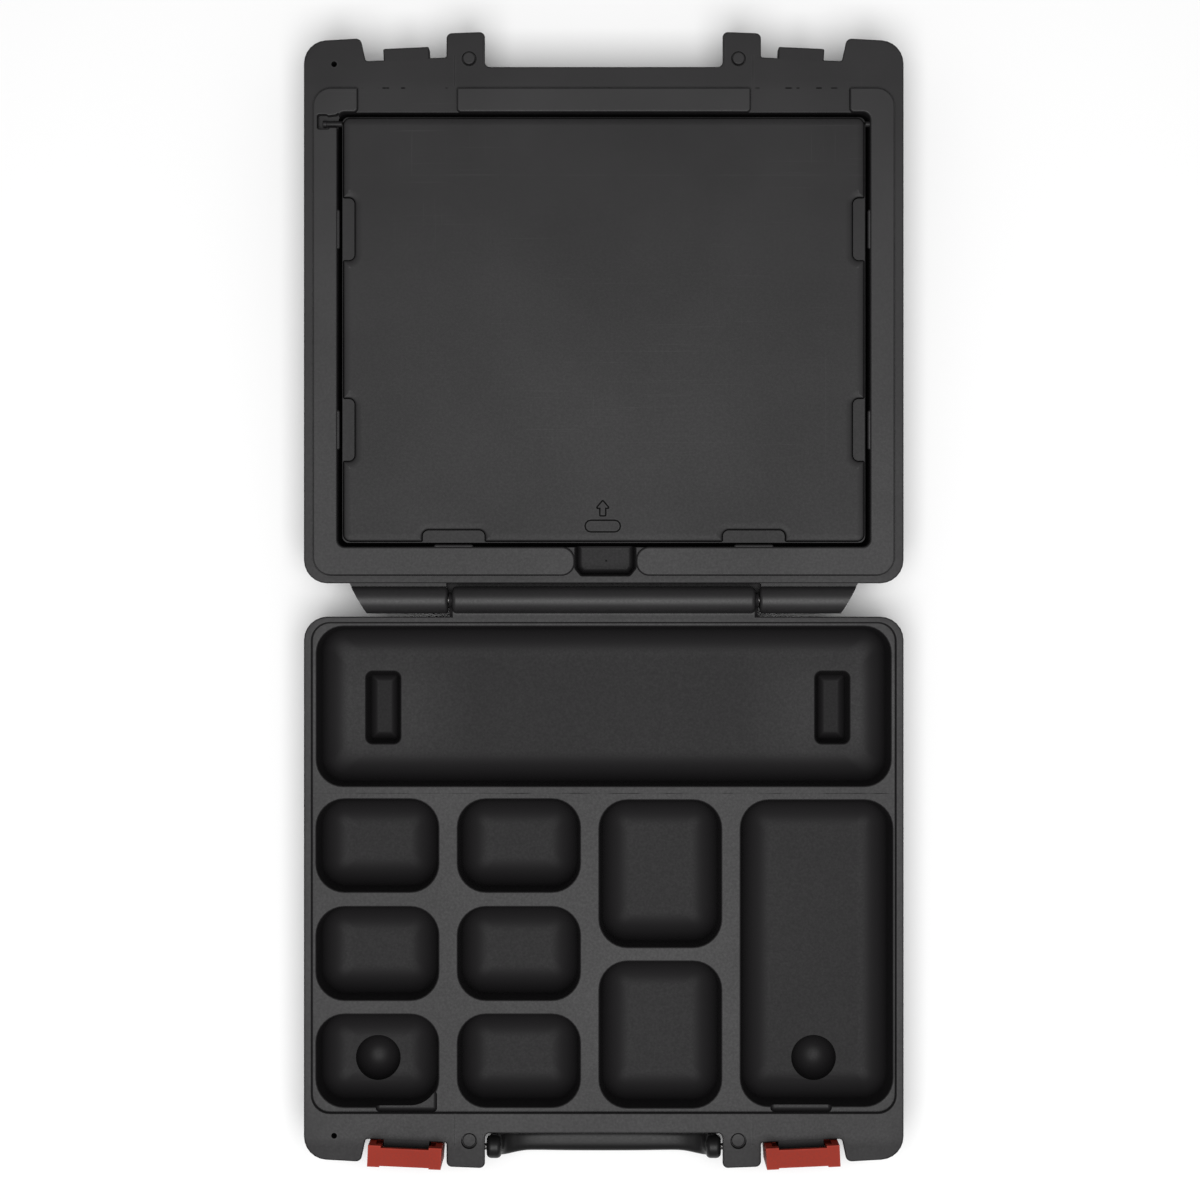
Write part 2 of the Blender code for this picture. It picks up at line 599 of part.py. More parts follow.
# ---------------------------------------------------------------- the cover in the lid
def make_cover():
    ledge = HALF_DEPTH + COVER_LEDGE
    skirt = HALF_DEPTH + COVER_SKIRT
    flange = rectangle(-COVER_X, COVER_X, COVER_REAR, COVER_FRONT, 0.004)
    cover = slab("compartment_cover", flange, LID, skirt, ledge, PARTS)
    panel = panel_outline()
    join(cover, loft("panel", [
        (panel, ledge - 0.001),
        (panel, ledge + 0.0008),
        (inset(panel, PANEL_CHAMFER), HALF_DEPTH + COVER_TOP),
    ], LID, CUTTERS))
    cut(cover, slab("under_flange", inset(flange, COVER_SHEET), LID, skirt - 0.002,
                    ledge - COVER_SHEET, CUTTERS))
    under = inset(panel, COVER_SHEET)
    cut(cover, loft("under_panel", [
        (under, ledge - COVER_SHEET - 0.001),
        (under, HALF_DEPTH + COVER_TOP - COVER_PANEL_SHEET),
    ], LID, CUTTERS))
    rib = RIB_THICK / 2
    rib_top = HALF_DEPTH + COVER_TOP - COVER_PANEL_SHEET + 0.0005
    rib_low = skirt + 0.0006
    for index, x in enumerate(RIBS_LONG):
        join(cover, box(f"rib_long_{index}", (x - rib, COVER_REAR + 0.001, rib_low),
                        (x + rib, COVER_FRONT - 0.001, rib_top), CUTTERS))
    for index, d in enumerate(RIBS_CROSS):
        join(cover, box(f"rib_cross_{index}", (-COVER_X + 0.001, d - rib, rib_low),
                        (COVER_X - 0.001, d + rib, rib_top), CUTTERS))
    axis_z = HALF_DEPTH + COVER_AXIS_Z
    for index, (start, end) in enumerate(STUBS, 1):
        join(cover, rod(f"stub_{index}", (start, COVER_AXIS_D, axis_z), (end, COVER_AXIS_D, axis_z),
                        STUB_R, CUTTERS))
    set_origin(cover, Vector((0, COVER_AXIS_D, axis_z)))
    dress(cover, (0.050, 0.048, 0.050), 0.52)
    return cover


# ---------------------------------------------------------------- latches, handle and pins
def make_latch(name, side_x):
    """A channel with a hook along its top, hinged on a pin through its two arms."""
    frame = latch_frame(side_x, BASE)
    top = LATCH_TOP - LATCH_Z
    half = LATCH_WIDTH / 2
    eye = half - 0.0002
    latch = rod(f"latch_{name}", (-eye, 0, 0), (eye, 0, 0), LATCH_EYE_R, PARTS, frame)
    join(latch, box(f"latch_body_{name}", (-half, -LATCH_IN, -LATCH_FOOT), (half, LATCH_OUT, top),
                    CUTTERS, frame))
    inner = half - LATCH_ARM
    hook = top - (LATCH_TOP - CATCH_HEIGHT - 0.0004)
    cut(latch, box(f"latch_channel_{name}", (-inner, -0.02, -0.02), (inner, LATCH_OUT - LATCH_SHEET, hook),
                   CUTTERS, frame))
    panel = inner + 0.0004
    cut(latch, box(f"latch_panel_{name}", (-panel, LATCH_OUT - LATCH_PANEL_DROP, -0.02),
                   (panel, LATCH_OUT + 0.01, top + 0.01), CUTTERS, frame))
    cut(latch, rod(f"latch_eye_{name}", (-half - 0.002, 0, 0), (half + 0.002, 0, 0),
                   LATCH_PIN_R + PIN_GAP, CUTTERS, frame, steps=16))
    pivot = frame.translation
    set_origin(latch, pivot, side_x * LATCH_TILT)
    dress(latch, (0.38, 0.045, 0.032), 0.42)
    pin = rod(f"latch_pin_{name}", (-half + 0.0003, 0, 0), (half - 0.0003, 0, 0), LATCH_PIN_R, PARTS, frame,
              end_round=0.0003, steps=16)
    dress(pin, (0.45, 0.45, 0.46), 0.35, 1.0)


def make_handle():
    """A flat bail: two arms from the pivots down to a rounded grip."""
    inner = HANDLE_X - HANDLE_ARM
    low = -HANDLE_DROP - GRIP_HEIGHT / 2
    grip_top = -HANDLE_DROP + GRIP_HEIGHT / 2
    outline = [
        (-HANDLE_X, low, HANDLE_BEND), (HANDLE_X, low, HANDLE_BEND), (HANDLE_X, 0, 0.0005),
        (inner, 0, 0.0005), (inner, grip_top, GRIP_BEND), (-inner, grip_top, GRIP_BEND),
        (-inner, 0, 0.0005), (-HANDLE_X, 0, 0.0005),
    ]
    handle = slab("carry_handle", outline, LID, -HANDLE_THICK / 2, HANDLE_THICK / 2, PARTS)
    pivot = Matrix.Translation((0, -HANDLE_D, HALF_DEPTH + HANDLE_Z))
    handle.data.transform(pivot @ Matrix.Rotation(math.radians(90), 4, "X"))
    bm = bmesh.new()
    bm.from_mesh(handle.data)
    level = HALF_DEPTH + HANDLE_Z - 0.001
    rims = [e for e in bm.edges if e.calc_face_angle(0) > 0.9 and min(v.co.z for v in e.verts) < level
            and abs(e.verts[0].co.y - e.verts[1].co.y) < 0.001 and max(v.co.z for v in e.verts) < level]
    bmesh.ops.bevel(bm, geom=rims, offset=0.0035, segments=3, profile=0.5, affect="EDGES")
    bmesh.ops.recalc_face_normals(bm, faces=bm.faces)
    bm.to_mesh(handle.data)
    bm.free()
    for name, side_x in SIDES:
        x0, x1 = sorted(side_x * x for x in (inner, HANDLE_X))
        z = HALF_DEPTH + HANDLE_Z
        join(handle, rod(f"handle_boss_{name}", (x0, -HANDLE_D, z), (x1, -HANDLE_D, z), HANDLE_THICK / 2,
                         CUTTERS, end_round=0.0008))
        cut(handle, rod(f"handle_eye_{name}", (side_x * (HANDLE_PIN[0] - PIN_GAP), -HANDLE_D, z),
                        (side_x * (HANDLE_X + 0.002), -HANDLE_D, z), HANDLE_PIN_R + PIN_GAP, CUTTERS))
        x0, x1 = sorted(side_x * x for x in HANDLE_PIN)
        pin = rod(f"handle_pin_{name}", (x0, -HANDLE_D, z), (x1, -HANDLE_D, z), HANDLE_PIN_R, PARTS,
                  end_round=0.0004, steps=16)
        dress(pin, (0.45, 0.45, 0.46), 0.35, 1.0)
    set_origin(handle, Vector((0, -HANDLE_D, HALF_DEPTH + HANDLE_Z)))
    dress(handle, (0.040, 0.039, 0.040), 0.45)


def make_hinge_pins():
    for name, side_x in SIDES:
        x0, x1 = sorted(side_x * x for x in HINGE_PIN)
        pin = rod(f"hinge_pin_{name}", (x0, 0, HALF_DEPTH), (x1, 0, HALF_DEPTH), HINGE_PIN_R, PARTS,
                  end_round=0.0005)
        dress(pin, (0.45, 0.45, 0.46), 0.35, 1.0)


clear_scene()
PARTS = make_collection("tool_case")
CUTTERS = make_collection("cutters")
make_base()
make_lid()
make_cover()
for latch_name, latch_side in SIDES:
    make_latch(latch_name, latch_side)
make_handle()
make_hinge_pins()
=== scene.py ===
"""Looks of a black blow-moulded tool case that lies open: shells, cover, latches, grip and pins."""
import json
import math

import bmesh
import bpy
from mathutils import Matrix, Vector


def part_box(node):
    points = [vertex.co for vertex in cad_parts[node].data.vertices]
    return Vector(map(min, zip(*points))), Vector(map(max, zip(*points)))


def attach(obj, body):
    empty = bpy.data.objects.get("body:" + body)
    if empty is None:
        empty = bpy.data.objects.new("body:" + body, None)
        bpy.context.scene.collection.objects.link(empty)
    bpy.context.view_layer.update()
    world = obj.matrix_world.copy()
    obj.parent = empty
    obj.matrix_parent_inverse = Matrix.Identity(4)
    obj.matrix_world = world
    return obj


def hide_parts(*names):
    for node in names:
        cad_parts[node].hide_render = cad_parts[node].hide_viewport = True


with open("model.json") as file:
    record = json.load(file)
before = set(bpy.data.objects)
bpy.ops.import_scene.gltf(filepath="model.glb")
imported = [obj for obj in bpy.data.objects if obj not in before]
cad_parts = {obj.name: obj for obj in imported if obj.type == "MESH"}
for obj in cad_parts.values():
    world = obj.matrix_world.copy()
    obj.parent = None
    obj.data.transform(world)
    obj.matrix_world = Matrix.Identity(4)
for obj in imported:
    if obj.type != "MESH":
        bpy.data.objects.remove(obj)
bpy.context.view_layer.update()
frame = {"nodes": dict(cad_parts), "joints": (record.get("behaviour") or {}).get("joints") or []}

# ---------------------------------------------------------------- sizes, metres, as the model has them
JOINTS = {joint["name"]: joint for joint in frame["joints"]}
AXIS_Z = JOINTS["lid_hinge"]["pos_m"][2]        # hinge axis, which is the parting plane
RIM = AXIS_Z - 0.00015                          # parting faces of both halves
HALF_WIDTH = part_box("base_shell")[1].x
DRAFT = math.tan(math.radians(2.5))
EDGE_ROUND = 0.007
REAR, FRONT = 0.010, 0.320
RECESS = (0.3235, 0.3258)                       # floor of the latch recess, outer and inner end
FOOT, LUG_OUTER, LUG_INNER = 0.1429, 0.0944, 0.0713
FRAME_RADIUS = 0.011
TONGUE = (0.1744, 0.0147, 0.307)                # the lid's raised frame: half width, rear, front
TONGUE_TOP = RIM + 0.0035
BREAK = (0.088, 0.1475)                         # gaps in the raised frame behind the latches
DECK = (0.1754, 0.0136, 0.3081)                 # the base's lowered deck
DECK_Z = RIM - 0.00365
RELIEF = (0.1002, 0.1372)                       # shelves behind the latches, inner and outer end
SHELF_Z = DECK_Z - 0.0040
INSERT_LINE = 0.1163                            # line across the deck, between the mould's inserts
FLOOR_Z = AXIS_Z - 0.034                        # pocket floors
POCKET_RADIUS, FILLET, POCKET_DRAFT = 0.017, (0.0175, 0.0125), 0.0016
LIP = 0.0009                                    # rounding along a pocket's mouth
TACK_Z = 0.0026                                 # floors pressed against the outer skin
TRAY = (-0.1727, 0.1727, 0.0159, 0.1119)
COLUMNS = (
    ((-0.1729, -0.0995), ((0.1198, 0.1755), (0.1846, 0.2406), (0.2493, 0.3050))),
    ((-0.0878, -0.0143), ((0.1198, 0.1755), (0.1846, 0.2406), (0.2493, 0.3050))),
    ((-0.0026, 0.0707), ((0.1204, 0.2088), (0.2174, 0.3054))),
    ((0.0824, 0.1737), ((0.1204, 0.3045),)),
)
TACK_SLOTS = ((-0.1455, -0.1246, 0.0438, 0.0878), (0.1296, 0.1505, 0.0438, 0.0878))
BOWLS = ((-0.1380, 0.2800), (0.1285, 0.2800))
BOWL_R = 0.0137
CAVITY = (-0.1597, 0.1597, 0.0318, 0.2924)
CAVITY_Z = 0.016
FINGER = (-0.017, 0.019, 0.0148, 0.0330)
FINGER_Z = 0.036
BARREL_R, BARREL_HALF = 0.0081, 0.091
KNUCKLE, KNUCKLE_FAR = (0.0933, 0.1515), 0.142
PIN_BORE, LATCH_BORE, HANDLE_BORE, STUB_BORE = 0.0028, 0.0018, 0.0023, 0.00215
PEG = (0.0808, 0.3247, 0.0038)
PEG_HEIGHT = 0.0028
BLOW_HOLE = (-0.1618, 0.3215, 0.00175)
COVER = (0.157, 0.0342, 0.2898)                 # half width, rear, front of its flange
COVER_LEDGE, COVER_TOP = AXIS_Z + 0.0004, AXIS_Z + 0.0026
COVER_SKIRT = AXIS_Z - 0.005
COVER_AXIS = JOINTS["cover_hinge"]["pos_m"]
SIDE_NOTCHES, REAR_NOTCH = (0.102, 0.2223), 0.090
NOTCH = (0.037, 0.0075)                         # its length and depth
RIBS_LONG, RIBS_CROSS = (-0.060, 0.0, 0.060), (0.130, 0.194)
LATCH_PIN = JOINTS["latch_right_hinge"]["axis"]
LATCH_TILT = math.atan2(LATCH_PIN[1], LATCH_PIN[0])
LATCH_OUT, LATCH_IN, LATCH_HALF, LATCH_ARM = 0.0079, 0.0048, 0.0219, 0.0076
LATCH_TOP, HOOK_UNDER = 0.035, 0.0314           # above the latch pivot
HANDLE_PIVOT = JOINTS["handle_pivot"]["pos_m"]
CREASE = 0.00050                                # width and depth of a mould insert's line
CREASES = (((0.0895, 0.3084), (0.0895, 0.3270)), ((0.0727, 0.3205), (0.0725, 0.3365)))
BASE, LID = -1, 1
SIDES = (("left", -1), ("right", 1))


# ---------------------------------------------------------------- outlines as (x, d, corner radius)
def rectangle(x0, x1, d0, d1, radius):
    """Four corners; d runs from the hinge towards the front."""
    return [(x0, d0, radius), (x1, d0, radius), (x1, d1, radius), (x0, d1, radius)]


def mirrored(right):
    """The outline of the right half, closed with its mirror image."""
    return right + [(-x, d, radius) for x, d, radius in reversed(right)]


def half_outline():
    """Plan of either half: straight rear, blocks, latch recesses, lugs and the middle bay."""
    return mirrored([
        (HALF_WIDTH, REAR, 0.014),
        (HALF_WIDTH, 0.3353, 0.014),
        (0.1459, 0.3372, 0.0036),
        (FOOT, RECESS[0], 0.0016),
        (LUG_OUTER, RECESS[1], 0.0012),
        (LUG_OUTER, 0.3402, 0.0033),
        (LUG_INNER, 0.3411, 0.0033),
        (LUG_INNER, FRONT, 0.0030),
    ])


def panel_outline():
    """The cover's raised panel, with a notch at each snap bump."""
    step, half, radius = 0.0006, NOTCH[0] / 2, 0.0034
    x, rear, front = COVER[0] - step, COVER[1] + step, COVER[2] - step
    deep_x, deep_rear = COVER[0] - NOTCH[1], COVER[1] + NOTCH[1]
    right = [(REAR_NOTCH - half, rear, 0.001), (REAR_NOTCH - half, deep_rear, radius),
             (REAR_NOTCH + half, deep_rear, radius), (REAR_NOTCH + half, rear, 0.001), (x, rear, 0.0045)]
    for middle in SIDE_NOTCHES:
        right += [(x, middle - half, 0.001), (deep_x, middle - half, radius),
                  (deep_x, middle + half, radius), (x, middle + half, 0.001)]
    return mirrored(right + [(x, front, 0.0045)])


def inset(corners, distance, least=0.0003):
    """The outline moved in by a distance, its arcs kept concentric down to a least radius."""
    moved = []
    for index, (x, y, radius) in enumerate(corners):
        here = Vector((x, y))
        first = (here - Vector(corners[index - 1][:2])).normalized()
        second = (Vector(corners[(index + 1) % len(corners)][:2]) - here).normalized()
        normal_1, normal_2 = Vector((-first.y, first.x)), Vector((-second.y, second.x))
        shift = (normal_1 + normal_2) / (1 + normal_1.dot(normal_2)) * distance
        grown = radius - distance if first.cross(second) > 0 else radius + distance
        moved.append((x + shift.x, y + shift.y, max(grown, least)))
    return moved


def rounded(corners, steps=8):
    """Points along the outline, with an arc at each corner."""
    points = []
    for index, (x, y, radius) in enumerate(corners):
        here = Vector((x, y))
        back = (Vector(corners[index - 1][:2]) - here).normalized()
        ahead = (Vector(corners[(index + 1) % len(corners)][:2]) - here).normalized()
        half_angle = back.angle(ahead) / 2
        centre = here + (back + ahead).normalized() * radius / math.sin(half_angle)
        start = here + back * radius / math.tan(half_angle) - centre
        end = here + ahead * radius / math.tan(half_angle) - centre
        turn = math.atan2(start.x * end.y - start.y * end.x, start.dot(end))
        for step in range(steps + 1):
            cos, sin = math.cos(turn * step / steps), math.sin(turn * step / steps)
            points.append(centre + Vector((cos * start.x - sin * start.y, sin * start.x + cos * start.y)))
    return points


def arc(radius, start, end, steps):
    """(across, up) offsets along a quarter round, angles in degrees."""
    for step in range(steps + 1):
        angle = math.radians(start + (end - start) * step / steps)
        yield radius * math.cos(angle), radius * math.sin(angle)


# ---------------------------------------------------------------- mesh helpers
class Skin:
    """A welded surface built from rings of the same outline at several heights."""

    def __init__(self, side):
        self.side = side
        self.bm = bmesh.new()

    def ring(self, corners, height, steps=8):
        return [self.bm.verts.new((p.x, self.side * p.y, height)) for p in rounded(corners, steps)]

    def bridge(self, low, high):
        count = len(low)
        for index in range(count):
            after = (index + 1) % count
            self.bm.faces.new((low[index], low[after], high[after], high[index]))

    def run(self, corners, profile, steps=8, least=0.0003):
        """Rings down a profile of (inset, height); gives the first and the last ring."""
        rings = []
        for distance, height in profile:
            rings.append(self.ring(inset(corners, distance, least), height, steps))
        for low, high in zip(rings, rings[1:]):
            self.bridge(low, high)
        return rings[0], rings[-1]

    def fill(self, *loops):
        """A flat face between an outer loop and the loops of its holes."""
        if len(loops) == 1:
            self.bm.faces.new(loops[0])
            return
        edges = []
        for loop in loops:
            for index, vert in enumerate(loop):
                other = loop[(index + 1) % len(loop)]
                edges.append(self.bm.edges.get((vert, other)) or self.bm.edges.new((vert, other)))
        bmesh.ops.triangle_fill(self.bm, use_beauty=True, use_dissolve=False, edges=edges)

    def done(self, name):
        return to_object(name, self.bm)


def to_object(name, bm):
    """Weld the mesh, turn its faces outward and put it in the scene."""
    bmesh.ops.remove_doubles(bm, verts=bm.verts, dist=1e-7)
    bmesh.ops.recalc_face_normals(bm, faces=bm.faces)
    mesh = bpy.data.meshes.new(name)
    bm.to_mesh(mesh)
    bm.free()
    item = bpy.data.objects.new(name, mesh)
    bpy.context.scene.collection.objects.link(item)
    return item


def solid(name, corners, side, profile, steps=8):
    """A closed form: the outline through a profile of (inset, height), capped at both ends."""
    skin = Skin(side)
    first, last = skin.run(corners, profile, steps=steps)
    skin.fill(first)
    skin.fill(last)
    return skin.done(name)


def block(name, low, high, matrix=None, bevel=0.0):
    """A box between two corners."""
    bm = bmesh.new()
    bmesh.ops.create_cube(bm, size=1)
    low, high = Vector(low), Vector(high)
    bm.transform(Matrix.Translation((low + high) / 2) @ Matrix.Diagonal((*(high - low), 1)))
    if bevel:
        bmesh.ops.bevel(bm, geom=bm.edges[:], offset=bevel, segments=3, profile=0.5, affect="EDGES")
    if matrix:
        bm.transform(matrix)
    return to_object(name, bm)


def rod(name, start, end, radius, matrix=None, end_round=0.0, steps=64):
    """A cylinder between two points, with rounded ends if asked."""
    start, end = Vector(start), Vector(end)
    along = end - start
    bm = bmesh.new()
    bmesh.ops.create_cone(bm, cap_ends=True, segments=steps, radius1=radius, radius2=radius,
                          depth=along.length)
    if end_round:
        rims = [e for e in bm.edges if len({round(v.co.z, 6) for v in e.verts}) == 1]
        bmesh.ops.bevel(bm, geom=rims, offset=end_round, segments=5, profile=0.5, affect="EDGES")
    turn = Vector((0, 0, 1)).rotation_difference(along).to_matrix().to_4x4()
    bm.transform(Matrix.Translation((start + end) / 2) @ turn)
    if matrix:
        bm.transform(matrix)
    return to_object(name, bm)


def boolean(target, operation, tools):
    """Apply each tool to the target and remove it."""
    for tool in tools:
        modifier = target.modifiers.new("tool", "BOOLEAN")
        modifier.operation = operation
        modifier.solver = "EXACT"
        modifier.object = tool
        before = len(target.data.polygons)
        apply_modifiers(target)
        assert len(target.data.polygons) > before / 2, f"{tool.name} spoils {target.name}"
        bpy.data.objects.remove(tool, do_unlink=True)


def apply_modifiers(target):
    """Give the piece the mesh that its modifiers make."""
    bpy.context.view_layer.update()
    graph = bpy.context.evaluated_depsgraph_get()
    mesh = bpy.data.meshes.new_from_object(target.evaluated_get(graph))
    target.modifiers.clear()
    old = target.data
    target.data = mesh
    bpy.data.meshes.remove(old)


def cut(target, *tools):
    boolean(target, "DIFFERENCE", tools)


def join(target, *tools):
    boolean(target, "UNION", tools)


def soften(item, width, segments=2, angle=40):
    """Small rounds along every sharp edge."""
    bevel = item.modifiers.new("small_rounds", "BEVEL")
    bevel.width = width
    bevel.segments = segments
    bevel.limit_method = "ANGLE"
    bevel.angle_limit = math.radians(angle)
    bevel.harden_normals = False
    apply_modifiers(item)


def smooth(item, angle=32):
    """Smooth shading that keeps the edges sharper than the angle."""
    item.data.shade_smooth()
    item.data.set_sharp_from_angle(angle=math.radians(angle))
    normals = item.modifiers.new("face_weighted_normals", "WEIGHTED_NORMAL")
    normals.keep_sharp = True
    normals.weight = 60


def hand_over(item, body, material, slot, *nodes):
    """Give the piece its material and its place in the frame."""
    item.data.materials.clear()
    item.data.materials.append(material)
    for polygon in item.data.polygons:
        polygon.material_index = 0
    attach(item, body)
    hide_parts(*nodes)


# ---------------------------------------------------------------- base
def outer_profile():
    """Rim edge, drafted wall and long rounded edge, from the parting face down to the floor."""
    edge = 0.0009
    lean = DRAFT * RIM
    for across, up in arc(edge, 90, 0, 3):
        yield edge - across, RIM - edge + up
    for across, up in arc(EDGE_ROUND, 0, 90, 6):
        height = EDGE_ROUND - up
        yield lean - DRAFT * height + EDGE_ROUND - across, height


def add_hollow(skin, corners, top, lip, floor, fillet, draft, steps=8, least=0.0003):
    """Build a hollow with a rounded mouth, drafted walls and an elliptical fillet (across, up) at its floor.

    Gives its mouth loop and its floor loop.
    """
    profile = [(across - lip, top - lip + up) for across, up in arc(lip, 90, 0, 4)]
    for across, up in arc(1.0, 180, 270, 10):
        profile.append((draft + fillet[0] * (1 + across), floor + fillet[1] * (1 + up)))
    return skin.run(corners, profile, steps, least)


def circle(x, d, radius):
    """A square whose corners meet, which rounds to a circle."""
    return rectangle(x - radius, x + radius, d - radius, d + radius, radius - 0.00001)


def bowl(x, d):
    """Solid that presses a round-bottomed bowl into a pocket's floor."""
    depth = FLOOR_Z - TACK_Z
    profile = [(0, FLOOR_Z + 0.02)]
    for step in range(11):
        angle = math.radians(88 * step / 10)
        profile.append((BOWL_R * (1 - math.cos(angle) ** 0.8), FLOOR_Z - depth * math.sin(angle)))
    return solid("bowl", circle(x, d, BOWL_R), BASE, profile, steps=12)


def add_tack_slot(skin, area):
    """Slot in the tray that reaches down to the outer skin."""
    corner, lip, fillet, draft = 0.004, 0.0010, (0.0048, 0.0060), 0.0020
    mouth, floor = add_hollow(skin, rectangle(*area, corner), FLOOR_Z, lip, TACK_Z, fillet, draft,
                              least=0.0012)
    skin.fill(floor)
    return mouth


def make_base():
    """Lower half: shell with tray and pockets, barrel, latch posts, bores and peg sockets."""
    skin = Skin(BASE)
    rim, foot = skin.run(half_outline(), list(outer_profile()), steps=6)
    skin.fill(foot)
    deck = rectangle(-DECK[0], DECK[0], DECK[1], DECK[2], FRAME_RADIUS)
    step_profile = [(-0.0005, RIM), (-0.0002, RIM - 0.0002), (0, RIM - 0.0005), (0.0001, DECK_Z + 0.0004),
                    (0.0005, DECK_Z)]
    step_top, step_foot = skin.run(deck, step_profile)
    skin.fill(rim, step_top)
    mouths = []
    mouth, floor = add_hollow(skin, rectangle(*TRAY, 0.016), DECK_Z, LIP, FLOOR_Z, FILLET, POCKET_DRAFT,
                              least=0.009)
    mouths.append(mouth)
    skin.fill(floor, *[add_tack_slot(skin, area) for area in TACK_SLOTS])
    for x_range, rows in COLUMNS:
        for d_range in rows:
            corners = rectangle(*x_range, *d_range, POCKET_RADIUS)
            mouth, floor = add_hollow(skin, corners, DECK_Z, LIP, FLOOR_Z, FILLET, POCKET_DRAFT, least=0.005)
            mouths.append(mouth)
            skin.fill(floor)
    skin.fill(step_foot, *mouths)
    base = skin.done("base_body")
    cut(base, *[bowl(x, d) for x, d in BOWLS])
    join(base, rod("barrel", (-BARREL_HALF, 0, AXIS_Z), (BARREL_HALF, 0, AXIS_Z), BARREL_R, end_round=0.0028))
    join(base, block("barrel_web", (-BARREL_HALF + 0.0005, -REAR - 0.001, AXIS_Z - BARREL_R * 0.9),
                     (BARREL_HALF - 0.0005, -0.001, RIM - 0.00005)))
    join(base, block("gap_floor", (-BARREL_HALF - 0.0020, -REAR - 0.001, AXIS_Z - BARREL_R * 0.88),
                     (BARREL_HALF + 0.0020, -0.0005, AXIS_Z - 0.0052)))
    join(base, rod("collar", (-BARREL_HALF - 0.0018, 0, AXIS_Z), (BARREL_HALF + 0.0018, 0, AXIS_Z), 0.0042))
    for name, side_x in SIDES:
        place = latch_frame(side_x, BASE)
        join(base, latch_post(name, place))
        cut(base, rod("latch_bore", (-0.0132, 0, 0), (0.0132, 0, 0), LATCH_BORE, place, steps=32))
        cut(base, rod("hinge_bore", (side_x * 0.0697, 0, AXIS_Z), (side_x * 0.1, 0, AXIS_Z), PIN_BORE))
        cut(base, rod("handle_bore", (side_x * (LUG_INNER - 0.01), HANDLE_PIVOT[1], HANDLE_PIVOT[2]),
                      (side_x * 0.0808, HANDLE_PIVOT[1], HANDLE_PIVOT[2]), HANDLE_BORE))
        x, d, radius = PEG
        cut(base, dimple(side_x * x, d, radius + 0.0009))
        cut(base, deck_relief(side_x), *creases(side_x, BASE))
    x, d, radius = BLOW_HOLE
    cut(base, rod("blow_hole", (x, -d, RIM - 0.02), (x, -d, RIM + 0.01), radius, steps=32))
    smooth(base)
    return base


def dimple(x, d, radius):
    """Round socket that takes one of the lid's pegs, with a groove round its floor."""
    floor_z = RIM - PEG_HEIGHT
    profile = [(-0.0002, RIM + 0.01), (-0.0002, RIM), (0, RIM - 0.0003), (0, floor_z - 0.0012)]
    socket = solid("dimple", circle(x, d, radius), BASE, profile)
    floor_profile = [(0, floor_z - 0.0022), (0, floor_z - 0.0004), (0.0004, floor_z)]
    cut(socket, solid("dimple_floor", circle(x, d, radius - 0.0007), BASE, floor_profile))
    return socket


def deck_relief(side_x):
    """Lower shelf between the deck's front edge and the outer pocket, behind the latch."""
    rear = 0.2950 if side_x < 0 else 0.2970
    x0, x1 = sorted(side_x * x for x in RELIEF)
    across, up = 0.0026, 0.0032
    profile = [(0, RIM + 0.01), (0, DECK_Z)]
    profile += [(across * (1 + x), SHELF_Z + up * (1 + z)) for x, z in arc(1.0, 180, 270, 5)]
    return solid("relief", rectangle(x0, x1, rear, 0.30795, 0.0026), BASE, profile)


def creases(side_x, side):
    """Fine grooves left by the mould's inserts beside each latch and along each lug."""
    for (x0, d0), (x1, d1) in CREASES:
        start, end = Vector((side_x * x0, side * d0)), Vector((side_x * x1, side * d1))
        along = end - start
        place = Matrix.Translation(((start.x + end.x) / 2, (start.y + end.y) / 2, RIM))
        place = place @ Matrix.Rotation(math.atan2(along.y, along.x), 4, "Z")
        half = along.length / 2
        yield block("crease", (-half, -CREASE / 2, -CREASE), (half, CREASE / 2, 0.001), place)


def latch_frame(side_x, side):
    """Frame of a latch: pivot at the origin, +X along its pin, +Y out of the front wall."""
    joint = JOINTS["latch_left_hinge" if side_x < 0 else "latch_right_hinge"]
    x, y, z = joint["pos_m"]
    place = Matrix.Translation((x, side * abs(y), z))
    return place @ Matrix.Rotation(-side * side_x * LATCH_TILT, 4, "Z") @ Matrix.Diagonal((1, side, 1, 1))


def latch_post(name, place):
    """Tongue that carries the latch pin, its top rolling down towards the front."""
    half = 0.0137
    bm = bmesh.new()
    outline = [(-0.0120, 0.01985), (-0.0050, 0.01983), (0.0004, 0.01970), (0.0018, 0.0190), (0.0026, 0.0177),
               (0.0029, 0.0160), (0.0029, 0.0138), (0.0016, 0.0100), (-0.0003, 0.0045)]
    outline += [(0.0042 * math.sin(a), 0.0042 * math.cos(a)) for a in
                [math.radians(-4 + 19 * k) for k in range(10)]]
    outline += [(-0.0120, -0.0042)]
    rings = [[bm.verts.new((x, y, z)) for y, z in outline] for x in (-half, half)]
    for index in range(len(outline)):
        after = (index + 1) % len(outline)
        bm.faces.new((rings[0][index], rings[0][after], rings[1][after], rings[1][index]))
    bm.faces.new(rings[0])
    bm.faces.new(rings[1])
    bm.transform(place)
    post = to_object("latch_post_" + name, bm)
    soften(post, 0.0006, 2, 50)
    return post


